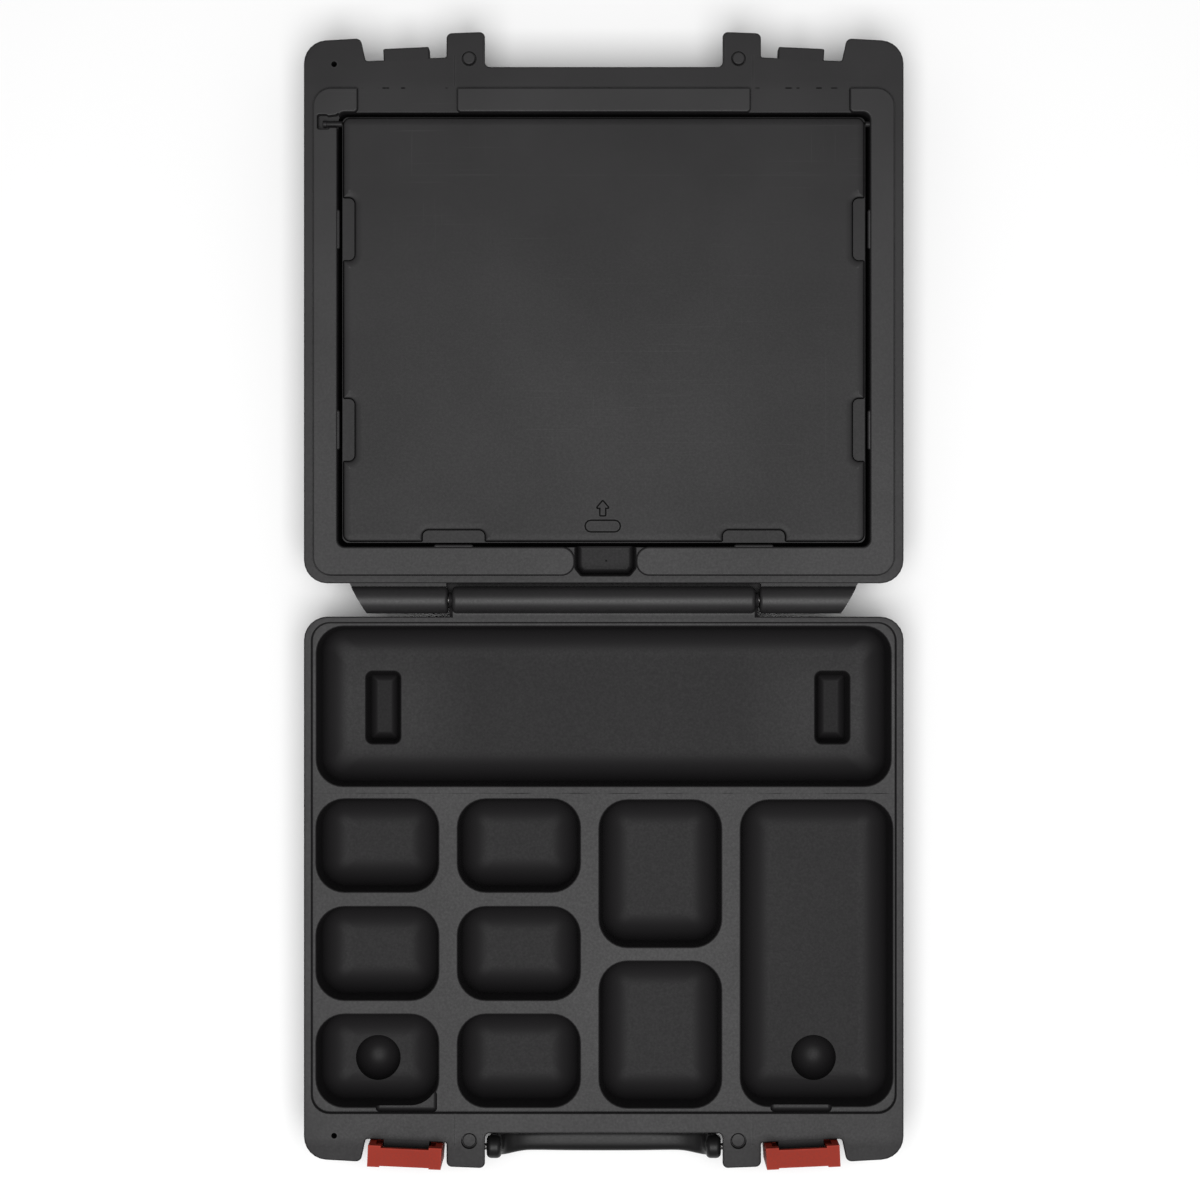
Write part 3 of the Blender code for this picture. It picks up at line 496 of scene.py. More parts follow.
# ---------------------------------------------------------------- lid
def frame_side(side_x):
    """Outline of the raised frame from the latch gap round the side to the finger recess."""
    lap = 0.00005
    x_in, rear, front = CAVITY[1] - lap, CAVITY[2] + lap, CAVITY[3] - lap
    finger = FINGER[1] + 0.0005 if side_x > 0 else -FINGER[0] + 0.0005
    corners = [
        (BREAK[1], TONGUE[2], 0.0008), (BREAK[1], front, 0.0025), (x_in, front, 0.0045),
        (x_in, rear, 0.0045), (finger, rear, 0.0078), (finger, TONGUE[1], 0.0078),
        (TONGUE[0], TONGUE[1], FRAME_RADIUS), (TONGUE[0], TONGUE[2], FRAME_RADIUS),
    ]
    if side_x > 0:
        return corners
    return [(-x, d, radius) for x, d, radius in reversed(corners)]


def raised(name, corners):
    """One stretch of the raised frame, its top edges rounded."""
    low, edge = RIM - 0.002, 0.0011
    profile = [(-0.00035, low), (0, TONGUE_TOP - edge)]
    profile += [(edge - across, TONGUE_TOP - edge + up) for across, up in arc(edge, 22.5, 90, 3)]
    return solid(name, corners, LID, profile)


def make_lid():
    """Upper half: shell with compartment, raised frame, knuckles, catch tabs and pegs."""
    skin = Skin(LID)
    rim, foot = skin.run(half_outline(), list(outer_profile()), steps=6)
    skin.fill(foot)
    mouth, floor = add_hollow(skin, rectangle(*CAVITY, 0.005), RIM, 0.0005, CAVITY_Z, (0.004, 0.004),
                              POCKET_DRAFT)
    skin.fill(rim, mouth)
    skin.fill(floor)
    lid = skin.done("lid_body")
    join(lid, raised("frame_right", frame_side(1)), raised("frame_left", frame_side(-1)))
    front_bar = [(-BREAK[0], CAVITY[3] - 0.00005, 0.0025), (BREAK[0], CAVITY[3] - 0.00005, 0.0025),
                 (BREAK[0], TONGUE[2], 0.0008), (-BREAK[0], TONGUE[2], 0.0008)]
    join(lid, raised("frame_front", front_bar))
    cut(lid, finger_recess(), stub_slot())
    cut(lid, rod("stub_bore", (0.155, COVER_AXIS[1], COVER_AXIS[2]), (0.1685, COVER_AXIS[1], COVER_AXIS[2]),
                 STUB_BORE, steps=32))
    for _, side_x in SIDES:
        x, d, radius = PEG
        cut(lid, solid("moat", circle(side_x * x, d, radius + 0.0006), LID,
                       [(-0.0001, RIM + 0.005), (-0.0001, RIM), (0, RIM - 0.0002), (0, RIM - 0.0016)]))
        cut(lid, *creases(side_x, LID))
        join(lid, knuckle(side_x), catch_tab(side_x), peg(side_x))
        for middle in SIDE_NOTCHES:
            join(lid, bump((side_x * (CAVITY[1] + 0.0004), middle), (0.0038, 0.0240)))
        join(lid, bump((side_x * REAR_NOTCH, CAVITY[2] - 0.0004), (0.0240, 0.0038)))
    join(lid, block("rear_ledge", (-KNUCKLE[0] - 0.0012, 0.0008, AXIS_Z - 0.0120),
                    (KNUCKLE[0] + 0.0012, REAR + 0.0010, AXIS_Z - 0.0092)))
    x, d, radius = BLOW_HOLE
    cut(lid, rod("blow_hole", (x, d, RIM - 0.02), (x, d, RIM + 0.01), radius, steps=32))
    smooth(lid)
    return lid


def finger_recess():
    """Hollow in the rear frame for the fingertip that lifts the cover."""
    x0, x1, rear = FINGER[:3]
    front, chamfer = CAVITY[2] + 0.003, 0.0035
    corners = [(x0 + chamfer, rear, 0.0015), (x1 - chamfer, rear, 0.0015), (x1, rear + chamfer * 1.2, 0.0015),
               (x1, front, 0.003), (x0, front, 0.003), (x0, rear + chamfer * 1.2, 0.0015)]
    profile = [(-0.0010, RIM + 0.01), (-0.0010, RIM + 0.0002), (-0.0003, RIM - 0.0004), (0, RIM - 0.0012)]
    profile += [(0.0012 + 0.003 + across, FINGER_Z + 0.003 + up) for across, up in arc(0.003, 180, 270, 5)]
    return solid("finger_recess", corners, LID, profile)


def stub_slot():
    """Open slot in the frame for the cover's left pivot stub, wider at its blind end."""
    floor = COVER_AXIS[2] - STUB_BORE
    corners = [(-0.1715, 0.2822, 0.0012), (-0.1652, 0.2822, 0.0010), (-0.1640, 0.2832, 0.0010),
               (-0.1600, 0.2832, 0.0020), (-0.1588, 0.2815, 0.0004), (-0.1588, 0.2918, 0.0004),
               (-0.1605, 0.2906, 0.0020), (-0.1652, 0.2900, 0.0014), (-0.1665, 0.2908, 0.0010),
               (-0.1715, 0.2908, 0.0012)]
    profile = [(-0.0008, TONGUE_TOP + 0.002), (-0.0008, TONGUE_TOP), (-0.0003, TONGUE_TOP - 0.0003),
               (0, TONGUE_TOP - 0.0010), (0, floor)]
    return solid("stub_slot", corners, LID, profile)


def knuckle(side_x):
    """Hinge knuckle with a slanted outer end, on a flat lip from the rear wall."""
    barrel = rod("knuckle", (KNUCKLE[0], 0, AXIS_Z), (KNUCKLE[1] + 0.004, 0, AXIS_Z), BARREL_R,
                 end_round=0.0022)
    join(barrel, block("lip", (KNUCKLE[0] + 0.0012, 0.0015, RIM - 0.0065),
                       (KNUCKLE[1] + 0.006, REAR + 0.0040, RIM - 0.0004)))
    slant = math.atan2(KNUCKLE[1] - KNUCKLE_FAR, 2 * BARREL_R)
    end = Matrix.Translation((KNUCKLE[1], BARREL_R, AXIS_Z)) @ Matrix.Rotation(-slant, 4, "Z")
    cut(barrel, block("slant", (0, -0.04, -0.02), (0.03, 0.02, 0.02), end))
    soften(barrel, 0.0017, 4, 50)
    cut(barrel, rod("bore", (KNUCKLE[0] - 0.01, 0, AXIS_Z), (0.1363, 0, AXIS_Z), PIN_BORE))
    if side_x < 0:
        barrel.data.transform(Matrix.Diagonal((-1, 1, 1, 1)))
        barrel.data.flip_normals()
    return barrel


def catch_tab(side_x):
    """Tab on the lid's front wall that the latch hooks over."""
    place = latch_frame(side_x, LID)
    top = RIM - place.translation.z
    half, reach, height = 0.0138, 0.0015, 0.011
    return block("catch_tab", (-half, -0.012, top - height), (half, reach, top - 0.00004), place,
                 bevel=0.0010)


def peg(side_x):
    """Peg on a lug that enters the socket in the base."""
    x, d, radius = PEG
    edge = 0.0009
    shoulder = RIM + PEG_HEIGHT - edge
    profile = [(0, RIM - 0.0030), (0, shoulder)]
    profile += [(edge - across, shoulder + up) for across, up in arc(edge, 22.5, 90, 3)]
    return solid("peg", circle(side_x * x, d, radius), LID, profile)


def bump(centre, size):
    """Low snap bump on the compartment's edge, its top rolled over."""
    (x, d), half_x, half_d = centre, size[0] / 2, size[1] / 2
    corners = rectangle(x - half_x, x + half_x, d - half_d, d + half_d, 0.0016)
    low, top, edge = COVER_LEDGE - 0.0012, COVER_TOP - 0.0006, 0.0011
    profile = [(0.0006, low), (0, low + 0.0006), (0, top - edge)]
    profile += [(edge - across, top - edge + up) for across, up in arc(edge, 15, 90, 4)]
    return solid("bump", corners, LID, profile)


# ---------------------------------------------------------------- cover
def make_cover():
    """Compartment cover: flange and raised panel, hollow and ribbed beneath, on two stubs."""
    sheet, top_sheet = 0.0022, 0.0019
    flange = rectangle(-COVER[0], COVER[0], COVER[1], COVER[2], 0.004)
    cover = solid("cover_body", flange, LID, [
        (0.0004, COVER_SKIRT), (0, COVER_SKIRT + 0.0004), (0, COVER_LEDGE - 0.0005),
        (0.0002, COVER_LEDGE - 0.0001), (0.0006, COVER_LEDGE)])
    panel = panel_outline()
    edge, crown = 0.0018, 0.00030
    profile = [(0, COVER_LEDGE - 0.001), (0, COVER_LEDGE + 0.0002)]
    profile += [(edge - across, COVER_TOP - crown - edge + up) for across, up in arc(edge, 5, 80, 6)]
    profile += [(0.0022, COVER_TOP - crown * 0.75), (0.0034, COVER_TOP - crown * 0.3), (0.0050, COVER_TOP)]
    join(cover, solid("panel", panel, LID, profile))
    under_flange = inset(flange, sheet)
    under_panel = inset(panel, sheet)
    cut(cover, solid("under_flange", under_flange, LID,
                     [(0, COVER_SKIRT - 0.002), (0, COVER_LEDGE - sheet)]))
    cut(cover, solid("under_panel", under_panel, LID,
                     [(0, COVER_LEDGE - sheet - 0.001), (0, COVER_TOP - top_sheet)]))
    rib, rib_end, rib_foot, rib_top = 0.0009, 0.001, COVER_SKIRT + 0.0006, COVER_TOP - top_sheet + 0.0005
    for x in RIBS_LONG:
        join(cover, block("rib", (x - rib, COVER[1] + rib_end, rib_foot),
                          (x + rib, COVER[2] - rib_end, rib_top)))
    for d in RIBS_CROSS:
        join(cover, block("rib", (-COVER[0] + rib_end, d - rib, rib_foot),
                          (COVER[0] - rib_end, d + rib, rib_top)))
    axis_d, axis_z = COVER_AXIS[1:]
    stub, collar, root = 0.0018, 0.0021, COVER[0] - 0.001
    join(cover, rod("stub", (-0.1680, axis_d, axis_z), (-root, axis_d, axis_z), stub))
    join(cover, rod("collar", (-0.1685, axis_d, axis_z), (-0.1662, axis_d, axis_z), collar, end_round=0.0004))
    join(cover, rod("stub", (root, axis_d, axis_z), (0.1675, axis_d, axis_z), stub, end_round=0.0003))
    engrave(cover, arrow_corners())
    engrave(cover, rectangle(-0.0108, 0.0096, 0.0412, 0.0474, 0.0030), 0.0014)
    smooth(cover)
    return cover


def arrow_corners():
    """Outline of the arrow that shows which way the cover opens."""
    tip, base, tail, middle = 0.0592, 0.0553, 0.0508, -0.0006
    points = [(0.0, tip), (-0.0033, base), (-0.0014, base), (-0.0014, tail), (0.0014, tail), (0.0014, base),
              (0.0033, base)]
    return [(x + middle, d, 0.0001) for x, d in points]


def engrave(cover, corners, hollow=0.0):
    """Sink a fine groove round an outline and leave its inside slightly proud."""
    groove, depth, proud = 0.00085, 0.0010, 0.00012
    cut(cover, solid("groove", inset(corners, -groove), LID,
                     [(0, COVER_TOP + 0.002), (0, COVER_TOP - depth)], steps=3))
    top = COVER_TOP + proud
    island = solid("island", corners, LID,
                   [(0, COVER_TOP - depth - 0.0003), (0, top - 0.0001), (0.0001, top)], steps=3)
    if hollow:
        cut(island, solid("inside", inset(corners, hollow), LID,
                          [(0, COVER_TOP + 0.002), (0, COVER_TOP - 0.00002)], steps=3))
    join(cover, island)


# ---------------------------------------------------------------- latches, handle
def make_latch(name, side_x):
    """Channel with a hook along its top and a panel set back between its two arms."""
    place = latch_frame(side_x, BASE)
    latch = rod("latch_body_" + name, (-LATCH_HALF, 0, 0), (LATCH_HALF, 0, 0), 0.0052)
    join(latch, block("body", (-LATCH_HALF + 0.00002, -LATCH_IN, -0.0035),
                      (LATCH_HALF - 0.00002, LATCH_OUT, LATCH_TOP)))
    inner, arm_low, arm_high = LATCH_HALF - LATCH_ARM, 0.0080, HOOK_UNDER - 0.002
    arm_outer, arm_inner, arm_deep = LATCH_HALF - 0.0040, inner - 0.001, -LATCH_IN + 0.0020
    cut(latch, block("channel", (-inner, -0.02, -0.02), (inner, LATCH_OUT - 0.0026, HOOK_UNDER)))
    cut(latch, block("lip", (-inner, -0.02, HOOK_UNDER - 0.001), (inner, -LATCH_IN + 0.0013, 0.06)))
    cut(latch, block("arm_left", (-arm_outer, -0.02, arm_low), (-arm_inner, arm_deep, arm_high)))
    cut(latch, block("arm_right", (arm_inner, -0.02, arm_low), (arm_outer, arm_deep, arm_high)))
    cut(latch, block("panel", (-inner - 0.0004, LATCH_OUT - 0.0007, -0.02),
                     (inner + 0.0004, LATCH_OUT + 0.01, 0.05)))
    cut(latch, rod("eye", (-0.03, 0, 0), (0.03, 0, 0), LATCH_BORE, steps=32))
    soften(latch, 0.00045, 3, 40)
    latch.data.transform(place)
    if place.determinant() < 0:
        latch.data.flip_normals()
    smooth(latch, 38)
    return latch


def make_handle():
    """Bail handle: round bosses on the pivots, arms that sweep down into a waisted grip."""
    half_span, drop = 0.0655, 0.0282
    stations = 61
    bm = bmesh.new()
    rings = []
    for station in range(stations):
        t = -1 + 2 * station / (stations - 1)
        centre, tangent = handle_path(t, half_span, drop)
        across = Vector((0, 1, 0))
        up = across.cross(tangent).normalized()
        depth, height, outward = handle_section(t)
        centre = centre - across * outward
        ring = []
        for k in range(32):
            angle = 2 * math.pi * k / 32
            cos, sin = math.cos(angle), math.sin(angle)
            flat = (abs(cos) ** 3 + abs(sin) ** 3) ** (-1 / 3)
            ring.append(bm.verts.new(centre + across * depth * cos * flat + up * height * sin * flat))
        rings.append(ring)
    for low, high in zip(rings, rings[1:]):
        for k in range(32):
            bm.faces.new((low[k], low[(k + 1) % 32], high[(k + 1) % 32], high[k]))
    bm.faces.new(rings[0])
    bm.faces.new(rings[-1])
    bm.transform(Matrix.Translation(HANDLE_PIVOT))
    handle = to_object("grip_body", bm)
    y, z = HANDLE_PIVOT[1:]
    boss_inner, boss_outer, boss_radius = 0.0617, 0.0706, 0.00695
    for _, side_x in SIDES:
        join(handle, rod("boss", (side_x * boss_inner, y, z), (side_x * boss_outer, y, z), boss_radius,
                         end_round=0.0028))
        cut(handle, rod("eye", (side_x * (boss_inner + 0.0005), y, z), (side_x * 0.08, y, z), HANDLE_BORE,
                        steps=32))
    smooth(handle, 40)
    return handle


def handle_path(t, half_span, drop):
    """Centre line of the handle from pivot to pivot, with its direction."""
    def place(value):
        value = max(-1.0, min(1.0, value))
        angle = math.pi / 2 * value
        x = half_span * math.copysign(abs(math.sin(angle)) ** 0.62, angle)
        z = -drop * abs(math.cos(angle)) ** 0.40
        return Vector((x, 0, z))
    step = 1e-3
    tangent = (place(t + step) - place(t - step)).normalized()
    return place(t), tangent


def handle_section(t):
    """Half depth, half height and outward shift of the section: full at the arms and in the middle."""
    end = min(1.0, max(0.0, (abs(t) - 0.55) / 0.4))
    swell = math.cos(math.pi / 2 * min(1.0, abs(t) / 0.45)) ** 2
    shoulder = math.sin(math.pi * min(1.0, max(0.0, (abs(t) - 0.35) / 0.75))) ** 2
    depth = 0.0064 + 0.0007 * swell + 0.0017 * shoulder + 0.0004 * end
    height = 0.0056 + 0.0007 * swell - 0.0016 * end
    return depth, height, 0.0006 * (1 - end)


# ---------------------------------------------------------------- materials
class Nodes:
    """Short calls for building a node tree."""

    def __init__(self, name):
        self.material = bpy.data.materials.new(name)
        self.material.use_nodes = True
        self.tree = self.material.node_tree
        self.shader = self.tree.nodes["Principled BSDF"]
        self.place = self.add("ShaderNodeTexCoord").outputs["Object"]
        separate = self.add("ShaderNodeSeparateXYZ")
        self.link(self.place, separate.inputs[0])
        self.along = {axis: separate.outputs[axis] for axis in "XYZ"}

    def add(self, kind, **settings):
        node = self.tree.nodes.new(kind)
        for key, value in settings.items():
            if key.startswith("in_"):
                node.inputs[key[3:].replace("_", " ")].default_value = value
            else:
                setattr(node, key, value)
        return node

    def link(self, source, target):
        self.tree.links.new(source, target)

    def math(self, operation, first, second=None, clamp=False):
        node = self.add("ShaderNodeMath", operation=operation, use_clamp=clamp)
        for index, value in enumerate((first, second)):
            if value is None:
                continue
            if isinstance(value, (int, float)):
                node.inputs[index].default_value = value
            else:
                self.link(value, node.inputs[index])
        return node.outputs[0]

    def times(self, first, second):
        return self.math("MULTIPLY", first, second)

    def noise(self, scale, detail=2.0, stretch=(1, 1, 1)):
        mapping = self.add("ShaderNodeMapping")
        mapping.inputs["Scale"].default_value = stretch
        self.link(self.place, mapping.inputs["Vector"])
        node = self.add("ShaderNodeTexNoise", in_Scale=scale, in_Detail=detail)
        self.link(mapping.outputs[0], node.inputs["Vector"])
        return node.outputs["Fac"]

    def remap(self, value, low, high, to_low=0.0, to_high=1.0):
        node = self.add("ShaderNodeMapRange", clamp=True)
        self.link(value, node.inputs["Value"])
        for key, number in (("From Min", low), ("From Max", high), ("To Min", to_low), ("To Max", to_high)):
            node.inputs[key].default_value = number
        return node.outputs[0]

    def mix(self, factor, dark, light):
        node = self.add("ShaderNodeMix", data_type="RGBA")
        self.link(factor, node.inputs["Factor"])
        for key, value in (("A", dark), ("B", light)):
            socket = [s for s in node.inputs if s.name == key and s.type == "RGBA"][0]
            if isinstance(value, tuple):
                socket.default_value = (*value, 1)
            else:
                self.link(value, socket)
        return [s for s in node.outputs if s.type == "RGBA"][0]

    def bump(self, height, distance):
        node = self.add("ShaderNodeBump", in_Strength=1.0, in_Distance=distance)
        self.link(height, node.inputs["Height"])
        return node.outputs[0]


def paler(tone):
    """The tone of worn or scratched plastic."""
    return tuple(min(1.0, c * 1.6 + 0.016) for c in tone)


def moulded(name, tone, gloss, roughness, grain=0.000035, scratches=0.0, depth=None, marks_and_painted_light=None):
    """Moulded plastic: fine grain, cloudy tone, paler worn edges and a few scratches.

    Below the height in depth it is darker and reflects less.
    """
    nodes = Nodes(name)
    fine = nodes.noise(2600, 2.0)
    coarse = nodes.noise(700, 3.0)
    cloud = nodes.noise(14, 3.0)
    mottle = nodes.math("ADD", nodes.times(coarse, 0.35), nodes.times(cloud, 0.65))
    dark, light = tuple(c * 0.85 for c in tone), tuple(c * 1.15 for c in tone)
    colour = nodes.mix(nodes.remap(mottle, 0.35, 0.65), dark, light)
    pale = paler(tone)
    worn = nodes.times(edge_mask(nodes), nodes.remap(nodes.noise(120, 3.0), 0.35, 0.7, 0.1, 0.6))
    colour = nodes.mix(worn, colour, pale)
    rough = nodes.remap(coarse, 0.3, 0.7, roughness - 0.04, roughness + 0.04)
    shine = nodes.remap(cloud, 0.3, 0.7, 0.95, 1.05)
    height = nodes.math("ADD", nodes.times(fine, 0.6), nodes.times(coarse, 0.4))
    if depth:
        level = nodes.remap(nodes.along["Z"], depth - 0.0015, depth)
        shine = nodes.times(shine, nodes.remap(level, 0, 1, 0.43, 1.0))
        colour = nodes.mix(level, tuple(c * 0.95 for c in tone), colour)
    if scratches:
        lines = scratch_mask(nodes)
        colour = nodes.mix(nodes.times(lines, scratches), colour, pale)
    # Adds the piece's own marks, and painted light and shade, to colour and shine.
    if marks_and_painted_light:
        colour, shine = marks_and_painted_light(nodes, colour, shine)
    nodes.link(colour, nodes.shader.inputs["Base Color"])
    nodes.link(rough, nodes.shader.inputs["Roughness"])
    nodes.link(nodes.times(shine, gloss), nodes.shader.inputs["Specular IOR Level"])
    nodes.link(nodes.bump(height, grain), nodes.shader.inputs["Normal"])
    return nodes.material


def edge_mask(nodes, reach=0.0011):
    """1 along outside edges, 0 on flat ground."""
    node = nodes.add("ShaderNodeAmbientOcclusion", samples=6, inside=True, only_local=True)
    node.inputs["Distance"].default_value = reach
    return nodes.remap(node.outputs["AO"], 0.45, 0.95, 1.0, 0.0)


def scratch_mask(nodes):
    """Thin broken lines in two directions."""
    along = nodes.remap(nodes.noise(1.0, 1.0, (14, 1500, 14)), 0.70, 0.74)
    down = nodes.remap(nodes.noise(1.0, 1.0, (1700, 20, 20)), 0.715, 0.75)
    patch = nodes.remap(nodes.noise(9, 2.0), 0.48, 0.62)
    return nodes.times(nodes.math("ADD", along, down, clamp=True), patch)


def line_mask(nodes, axis, place, width, mirror=False):
    """1 on a line across the piece at one coordinate, 0 away from it; mirrored, also at its negative."""
    across = nodes.math("ABSOLUTE", nodes.along[axis]) if mirror else nodes.along[axis]
    away = nodes.math("ABSOLUTE", nodes.math("SUBTRACT", across, place))
    return nodes.remap(away, width * 0.3, width, 1.0, 0.0)


def between(nodes, value, low, high):
    """1 where the value lies between the two."""
    soft = 0.0004
    return nodes.times(nodes.remap(value, low, low + soft), nodes.remap(value, high - soft, high, 1.0, 0.0))


def where(nodes, mask, shine, factor):
    """The shine, times the factor where the mask is 1."""
    return nodes.times(shine, nodes.remap(mask, 0, 1, 1.0, factor))


def all_of(nodes, *masks):
    """1 where every mask is 1."""
    whole = masks[0]
    for mask in masks[1:]:
        whole = nodes.times(whole, mask)
    return whole


def base_marks_and_painted_light(nodes, colour, shine):
    """Insert line across the deck, scuffed here and there; painted shade on the front lugs and corner blocks,
    on the tack slots' floors and in the gaps at the barrel's ends; a painted highlight at the bottoms of
    bowls and slots; a painted pool of light on the tray floor round its slots.
    """
    width, depth, height = (nodes.along[axis] for axis in "XYZ")
    half = nodes.math("ABSOLUTE", width)
    inside = all_of(nodes, between(nodes, half, -1.0, DECK[0]), between(nodes, depth, -DECK[2], -DECK[1]),
                    nodes.remap(height, 0.001, 0.002))
    dashes = nodes.remap(nodes.noise(1.0, 3.0, (70, 900, 70)), 0.46, 0.62, 0.15, 1.0)
    line = all_of(nodes, line_mask(nodes, "Y", -INSERT_LINE, 0.00035), dashes, inside)
    colour = nodes.mix(nodes.times(line, 0.9), colour, (0.001, 0.001, 0.001))
    shine = where(nodes, line, shine, 0.3)
    for along, low, high, start, end in (
            (depth, -0.328, -0.322, 0.72, 1.0),                     # front lugs and corner blocks, painted shade darker towards the front
            (depth, -0.0095, -0.0085, 1.0, 1.35),                   # barrel
            (height, TACK_Z + 0.003, FLOOR_Z - 0.002, 1.15, 1.0)):  # painted highlight at the bottoms of bowls and slots
        shine = nodes.times(shine, nodes.remap(along, low, high, start, end))
    # Painted shade: the floors of the tack slots reflect much less.
    slots = all_of(nodes, nodes.remap(height, FLOOR_Z - 0.004, FLOOR_Z - 0.001, 1.0, 0.0),
                   nodes.remap(depth, -0.100, -0.095), inside)
    shine = where(nodes, slots, shine, 0.38)
    shelf = all_of(nodes, line_mask(nodes, "Z", SHELF_Z, 0.0007), inside,
                   between(nodes, half, RELIEF[0] - 0.0007, RELIEF[1] + 0.0008),
                   nodes.remap(depth, -0.2955, -0.2945, 1.0, 0.0))
    shine = where(nodes, shelf, shine, 1.8)
    # Painted shade in the gaps between the barrel's ends and the lid's knuckles.
    gap = nodes.times(line_mask(nodes, "X", BARREL_HALF + 0.0011, 0.0020, mirror=True),
                      nodes.remap(depth, -0.0098, -0.0092))
    shine = where(nodes, gap, shine, 0.1)
    for x in (-0.134, 0.139):                                       # painted pool of light on the tray floor round each slot
        painted_light_pool = all_of(nodes, line_mask(nodes, "X", x, 0.055), line_mask(nodes, "Y", -0.066, 0.045), inside)
        shine = where(nodes, painted_light_pool, shine, 1.5)
    return colour, shine


def lid_marks_and_painted_shade(nodes, colour, shine):
    """Glossier frame, knuckles and finger recess; a dot in the recess and dark dashes by the latches; painted
    shade darkening the front rim and the rear towards the hinge.
    """
    depth, height = nodes.along["Y"], nodes.along["Z"]
    for along, low, high, start, end in (
            (height, RIM + 0.001, RIM + 0.002, 0.90, 1.08),         # raised frame
            (depth, 0.306, 0.312, 1.0, 0.90),                       # front rim, painted shade darker towards the front
            (depth, 0.0085, 0.0095, 1.35, 1.0),                     # knuckles
            (depth, 0.034, 0.080, 0.89, 1.0)):                      # rear rim, painted shade darker towards the hinge
        shine = nodes.times(shine, nodes.remap(along, low, high, start, end))
    recess = all_of(nodes, line_mask(nodes, "X", 0.001, 0.045),
                    nodes.remap(height, FINGER_Z + 0.0004, FINGER_Z + 0.003, 1.0, 0.0),
                    nodes.remap(depth, 0.0325, 0.0335, 1.0, 0.0))
    shine = where(nodes, recess, shine, 1.3)
    dot = all_of(nodes, line_mask(nodes, "X", 0.0015, 0.0008), line_mask(nodes, "Y", 0.0238, 0.0008),
                 line_mask(nodes, "Z", FINGER_Z, 0.002))
    colour = nodes.mix(nodes.times(dot, 0.9), colour, (0.0005, 0.0005, 0.0005))
    dashes = all_of(nodes, nodes.remap(nodes.noise(1.0, 1.0, (160, 10, 10)), 0.55, 0.60),
                    line_mask(nodes, "Y", TONGUE[2] + 0.0002, 0.0006),
                    line_mask(nodes, "X", 0.1180, 0.045, mirror=True), line_mask(nodes, "Z", RIM, 0.002))
    colour = nodes.mix(dashes, colour, (0.0005, 0.0005, 0.0005))
    return colour, where(nodes, nodes.math("ADD", dashes, dot, clamp=True), shine, 0.2)


def cover_rubs_and_painted_shade(nodes, colour, shine):
    """Faint rub lines on the panel; painted shade in its grooves and along its lower edge, and painted shade
    towards the hinge.
    """
    half, height = nodes.math("ABSOLUTE", nodes.along["X"]), nodes.along["Z"]
    broken = nodes.remap(nodes.noise(1.0, 3.0, (40, 300, 40)), 0.42, 0.62)
    patchy = nodes.remap(nodes.noise(30, 2.0), 0.5, 0.6)
    rubs = nodes.math("ADD", nodes.times(line_mask(nodes, "Y", 0.2545, 0.0005), broken),
                      nodes.times(line_mask(nodes, "X", 0.1330, 0.0004), patchy), clamp=True)
    # Painted shade: nearly black in the grooves and on the panel's sides above the flange.
    groove_and_edge_shade = all_of(nodes, nodes.remap(height, COVER_TOP - 0.0008, COVER_TOP - 0.0006, 1.0, 0.0),
                  nodes.remap(height, COVER_LEDGE + 0.0001, COVER_LEDGE + 0.0003),
                  nodes.remap(half, COVER[0], COVER[0] + 0.0004, 1.0, 0.0))
    # Painted shade: the cover reflects less towards the hinge.
    shine = nodes.times(shine, nodes.remap(nodes.along["Y"], 0.04, 0.13, 0.89, 1.0))
    colour = nodes.mix(nodes.times(rubs, 0.20), colour, paler(COVER_TONE))
    colour = nodes.mix(nodes.times(groove_and_edge_shade, 0.9), colour, (0.001, 0.001, 0.001))
    return colour, where(nodes, groove_and_edge_shade, shine, 0.15)


def steel(name):
    """Drawn wire, streaked along its length."""
    nodes = Nodes(name)
    drawn = nodes.noise(1.0, 2.0, (60, 4000, 4000))
    nodes.link(nodes.mix(drawn, (0.10, 0.097, 0.095), (0.22, 0.215, 0.21)), nodes.shader.inputs["Base Color"])
    nodes.link(nodes.remap(drawn, 0.3, 0.7, 0.28, 0.45), nodes.shader.inputs["Roughness"])
    nodes.link(nodes.bump(drawn, 0.00001), nodes.shader.inputs["Normal"])
    nodes.shader.inputs["Metallic"].default_value = 1.0
    return nodes.material


# ---------------------------------------------------------------- build
COVER_TONE = (0.0110, 0.0104, 0.0110)
base_black = moulded("base_moulded_black", (0.0122, 0.0115, 0.0122), 0.240, 0.48,
                     depth=DECK_Z - 0.0004, marks_and_painted_light=base_marks_and_painted_light)
lid_black = moulded("lid_moulded_black", (0.0125, 0.0118, 0.0125), 0.27, 0.48,
                    scratches=0.15, depth=RIM - 0.003, marks_and_painted_light=lid_marks_and_painted_shade)
cover_black = moulded("cover_moulded_black", COVER_TONE, 0.21, 0.48,
                      scratches=0.35, marks_and_painted_light=cover_rubs_and_painted_shade)
grip_black = moulded("grip_moulded_black", (0.0070, 0.0068, 0.0070), 0.17, 0.40)
latch_red = moulded("latch_moulded_red", (0.250, 0.022, 0.011), 0.068, 0.45, grain=0.00002)
pin_steel = steel("pin_drawn_steel")

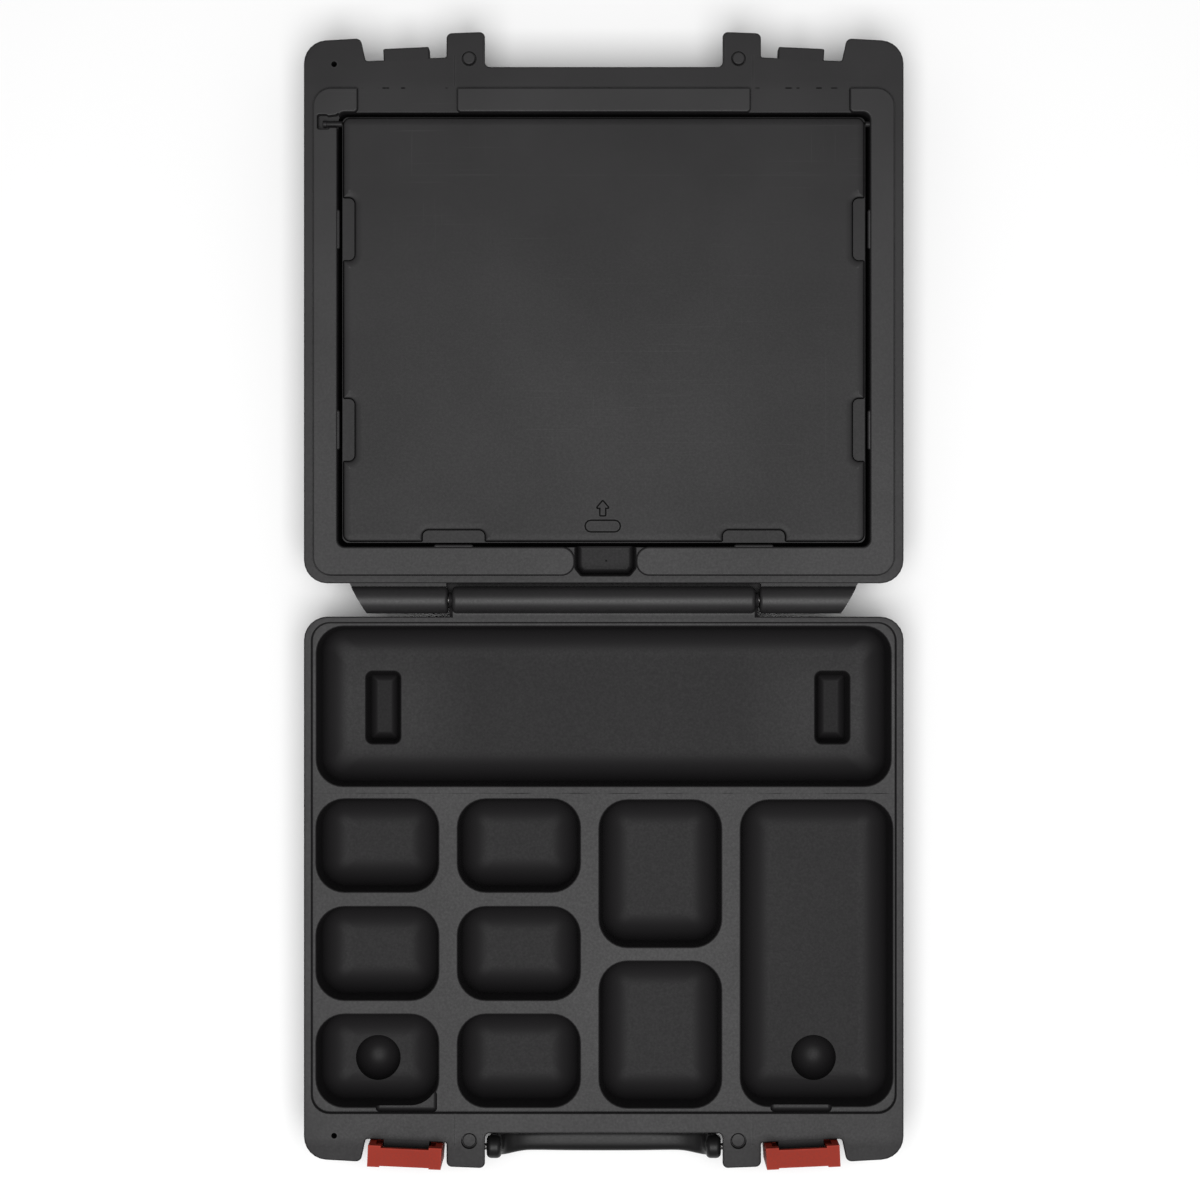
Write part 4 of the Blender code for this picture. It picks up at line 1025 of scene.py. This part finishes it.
hand_over(make_base(), "base", base_black, "case_black", "base_shell")
hand_over(make_lid(), "lid", lid_black, "case_black", "lid_shell")
hand_over(make_cover(), "cover", cover_black, "cover_black", "compartment_cover")
for side_name, side_sign in SIDES:
    body = "latch_" + side_name
    hand_over(make_latch(side_name, side_sign), body, latch_red, "latch_red", body)
hand_over(make_handle(), "handle", grip_black, "handle_black", "carry_handle")
for node_name, node in frame["nodes"].items():
    if "_pin_" in node_name:
        node.data.materials.clear()
        node.data.materials.append(pin_steel)
        node.data.shade_smooth()
        node.data.set_sharp_from_angle(angle=math.radians(40))

# ---------------------------------------------------------------- floor, light and camera
bm = bmesh.new()
bmesh.ops.create_grid(bm, x_segments=2, y_segments=2, size=4.0)
floor = to_object("floor", bm)
floor.location.z = -0.0005
paper = bpy.data.materials.new("pale_floor")
paper.use_nodes = True
paper.node_tree.nodes["Principled BSDF"].inputs["Base Color"].default_value = (0.88, 0.88, 0.88, 1)
paper.node_tree.nodes["Principled BSDF"].inputs["Roughness"].default_value = 0.9
floor.data.materials.append(paper)

world = bpy.data.worlds.new("studio")
bpy.context.scene.world = world
world.use_nodes = True
world.node_tree.nodes["Background"].inputs["Color"].default_value = (1, 1, 1, 1)
world.node_tree.nodes["Background"].inputs["Strength"].default_value = 0.36


def softbox(name, place, aim, size, power):
    """A square area light turned to its aim."""
    light = bpy.data.lights.new(name, "AREA")
    light.shape = "SQUARE"
    light.size = size
    light.energy = power
    lamp = bpy.data.objects.new(name, light)
    lamp.location = place
    lamp.rotation_euler = (Vector(aim) - Vector(place)).to_track_quat("-Z", "Y").to_euler()
    bpy.context.scene.collection.objects.link(lamp)


softbox("overhead_softbox", (0.0, -0.42, 2.4), (0.0, -0.05, 0.0), 1.5, 58)

VIEW_X, VIEW_HEIGHT = -0.00225, 1.65            # straight above, over the hinge
camera_data = bpy.data.cameras.new("camera")
camera_data.lens = 82.5
camera_data.sensor_width = 36
camera = bpy.data.objects.new("camera", camera_data)
camera.location = (VIEW_X, 0.0, AXIS_Z + VIEW_HEIGHT)
bpy.context.scene.collection.objects.link(camera)
bpy.context.scene.camera = camera
bpy.context.scene.view_settings.view_transform = "Standard"
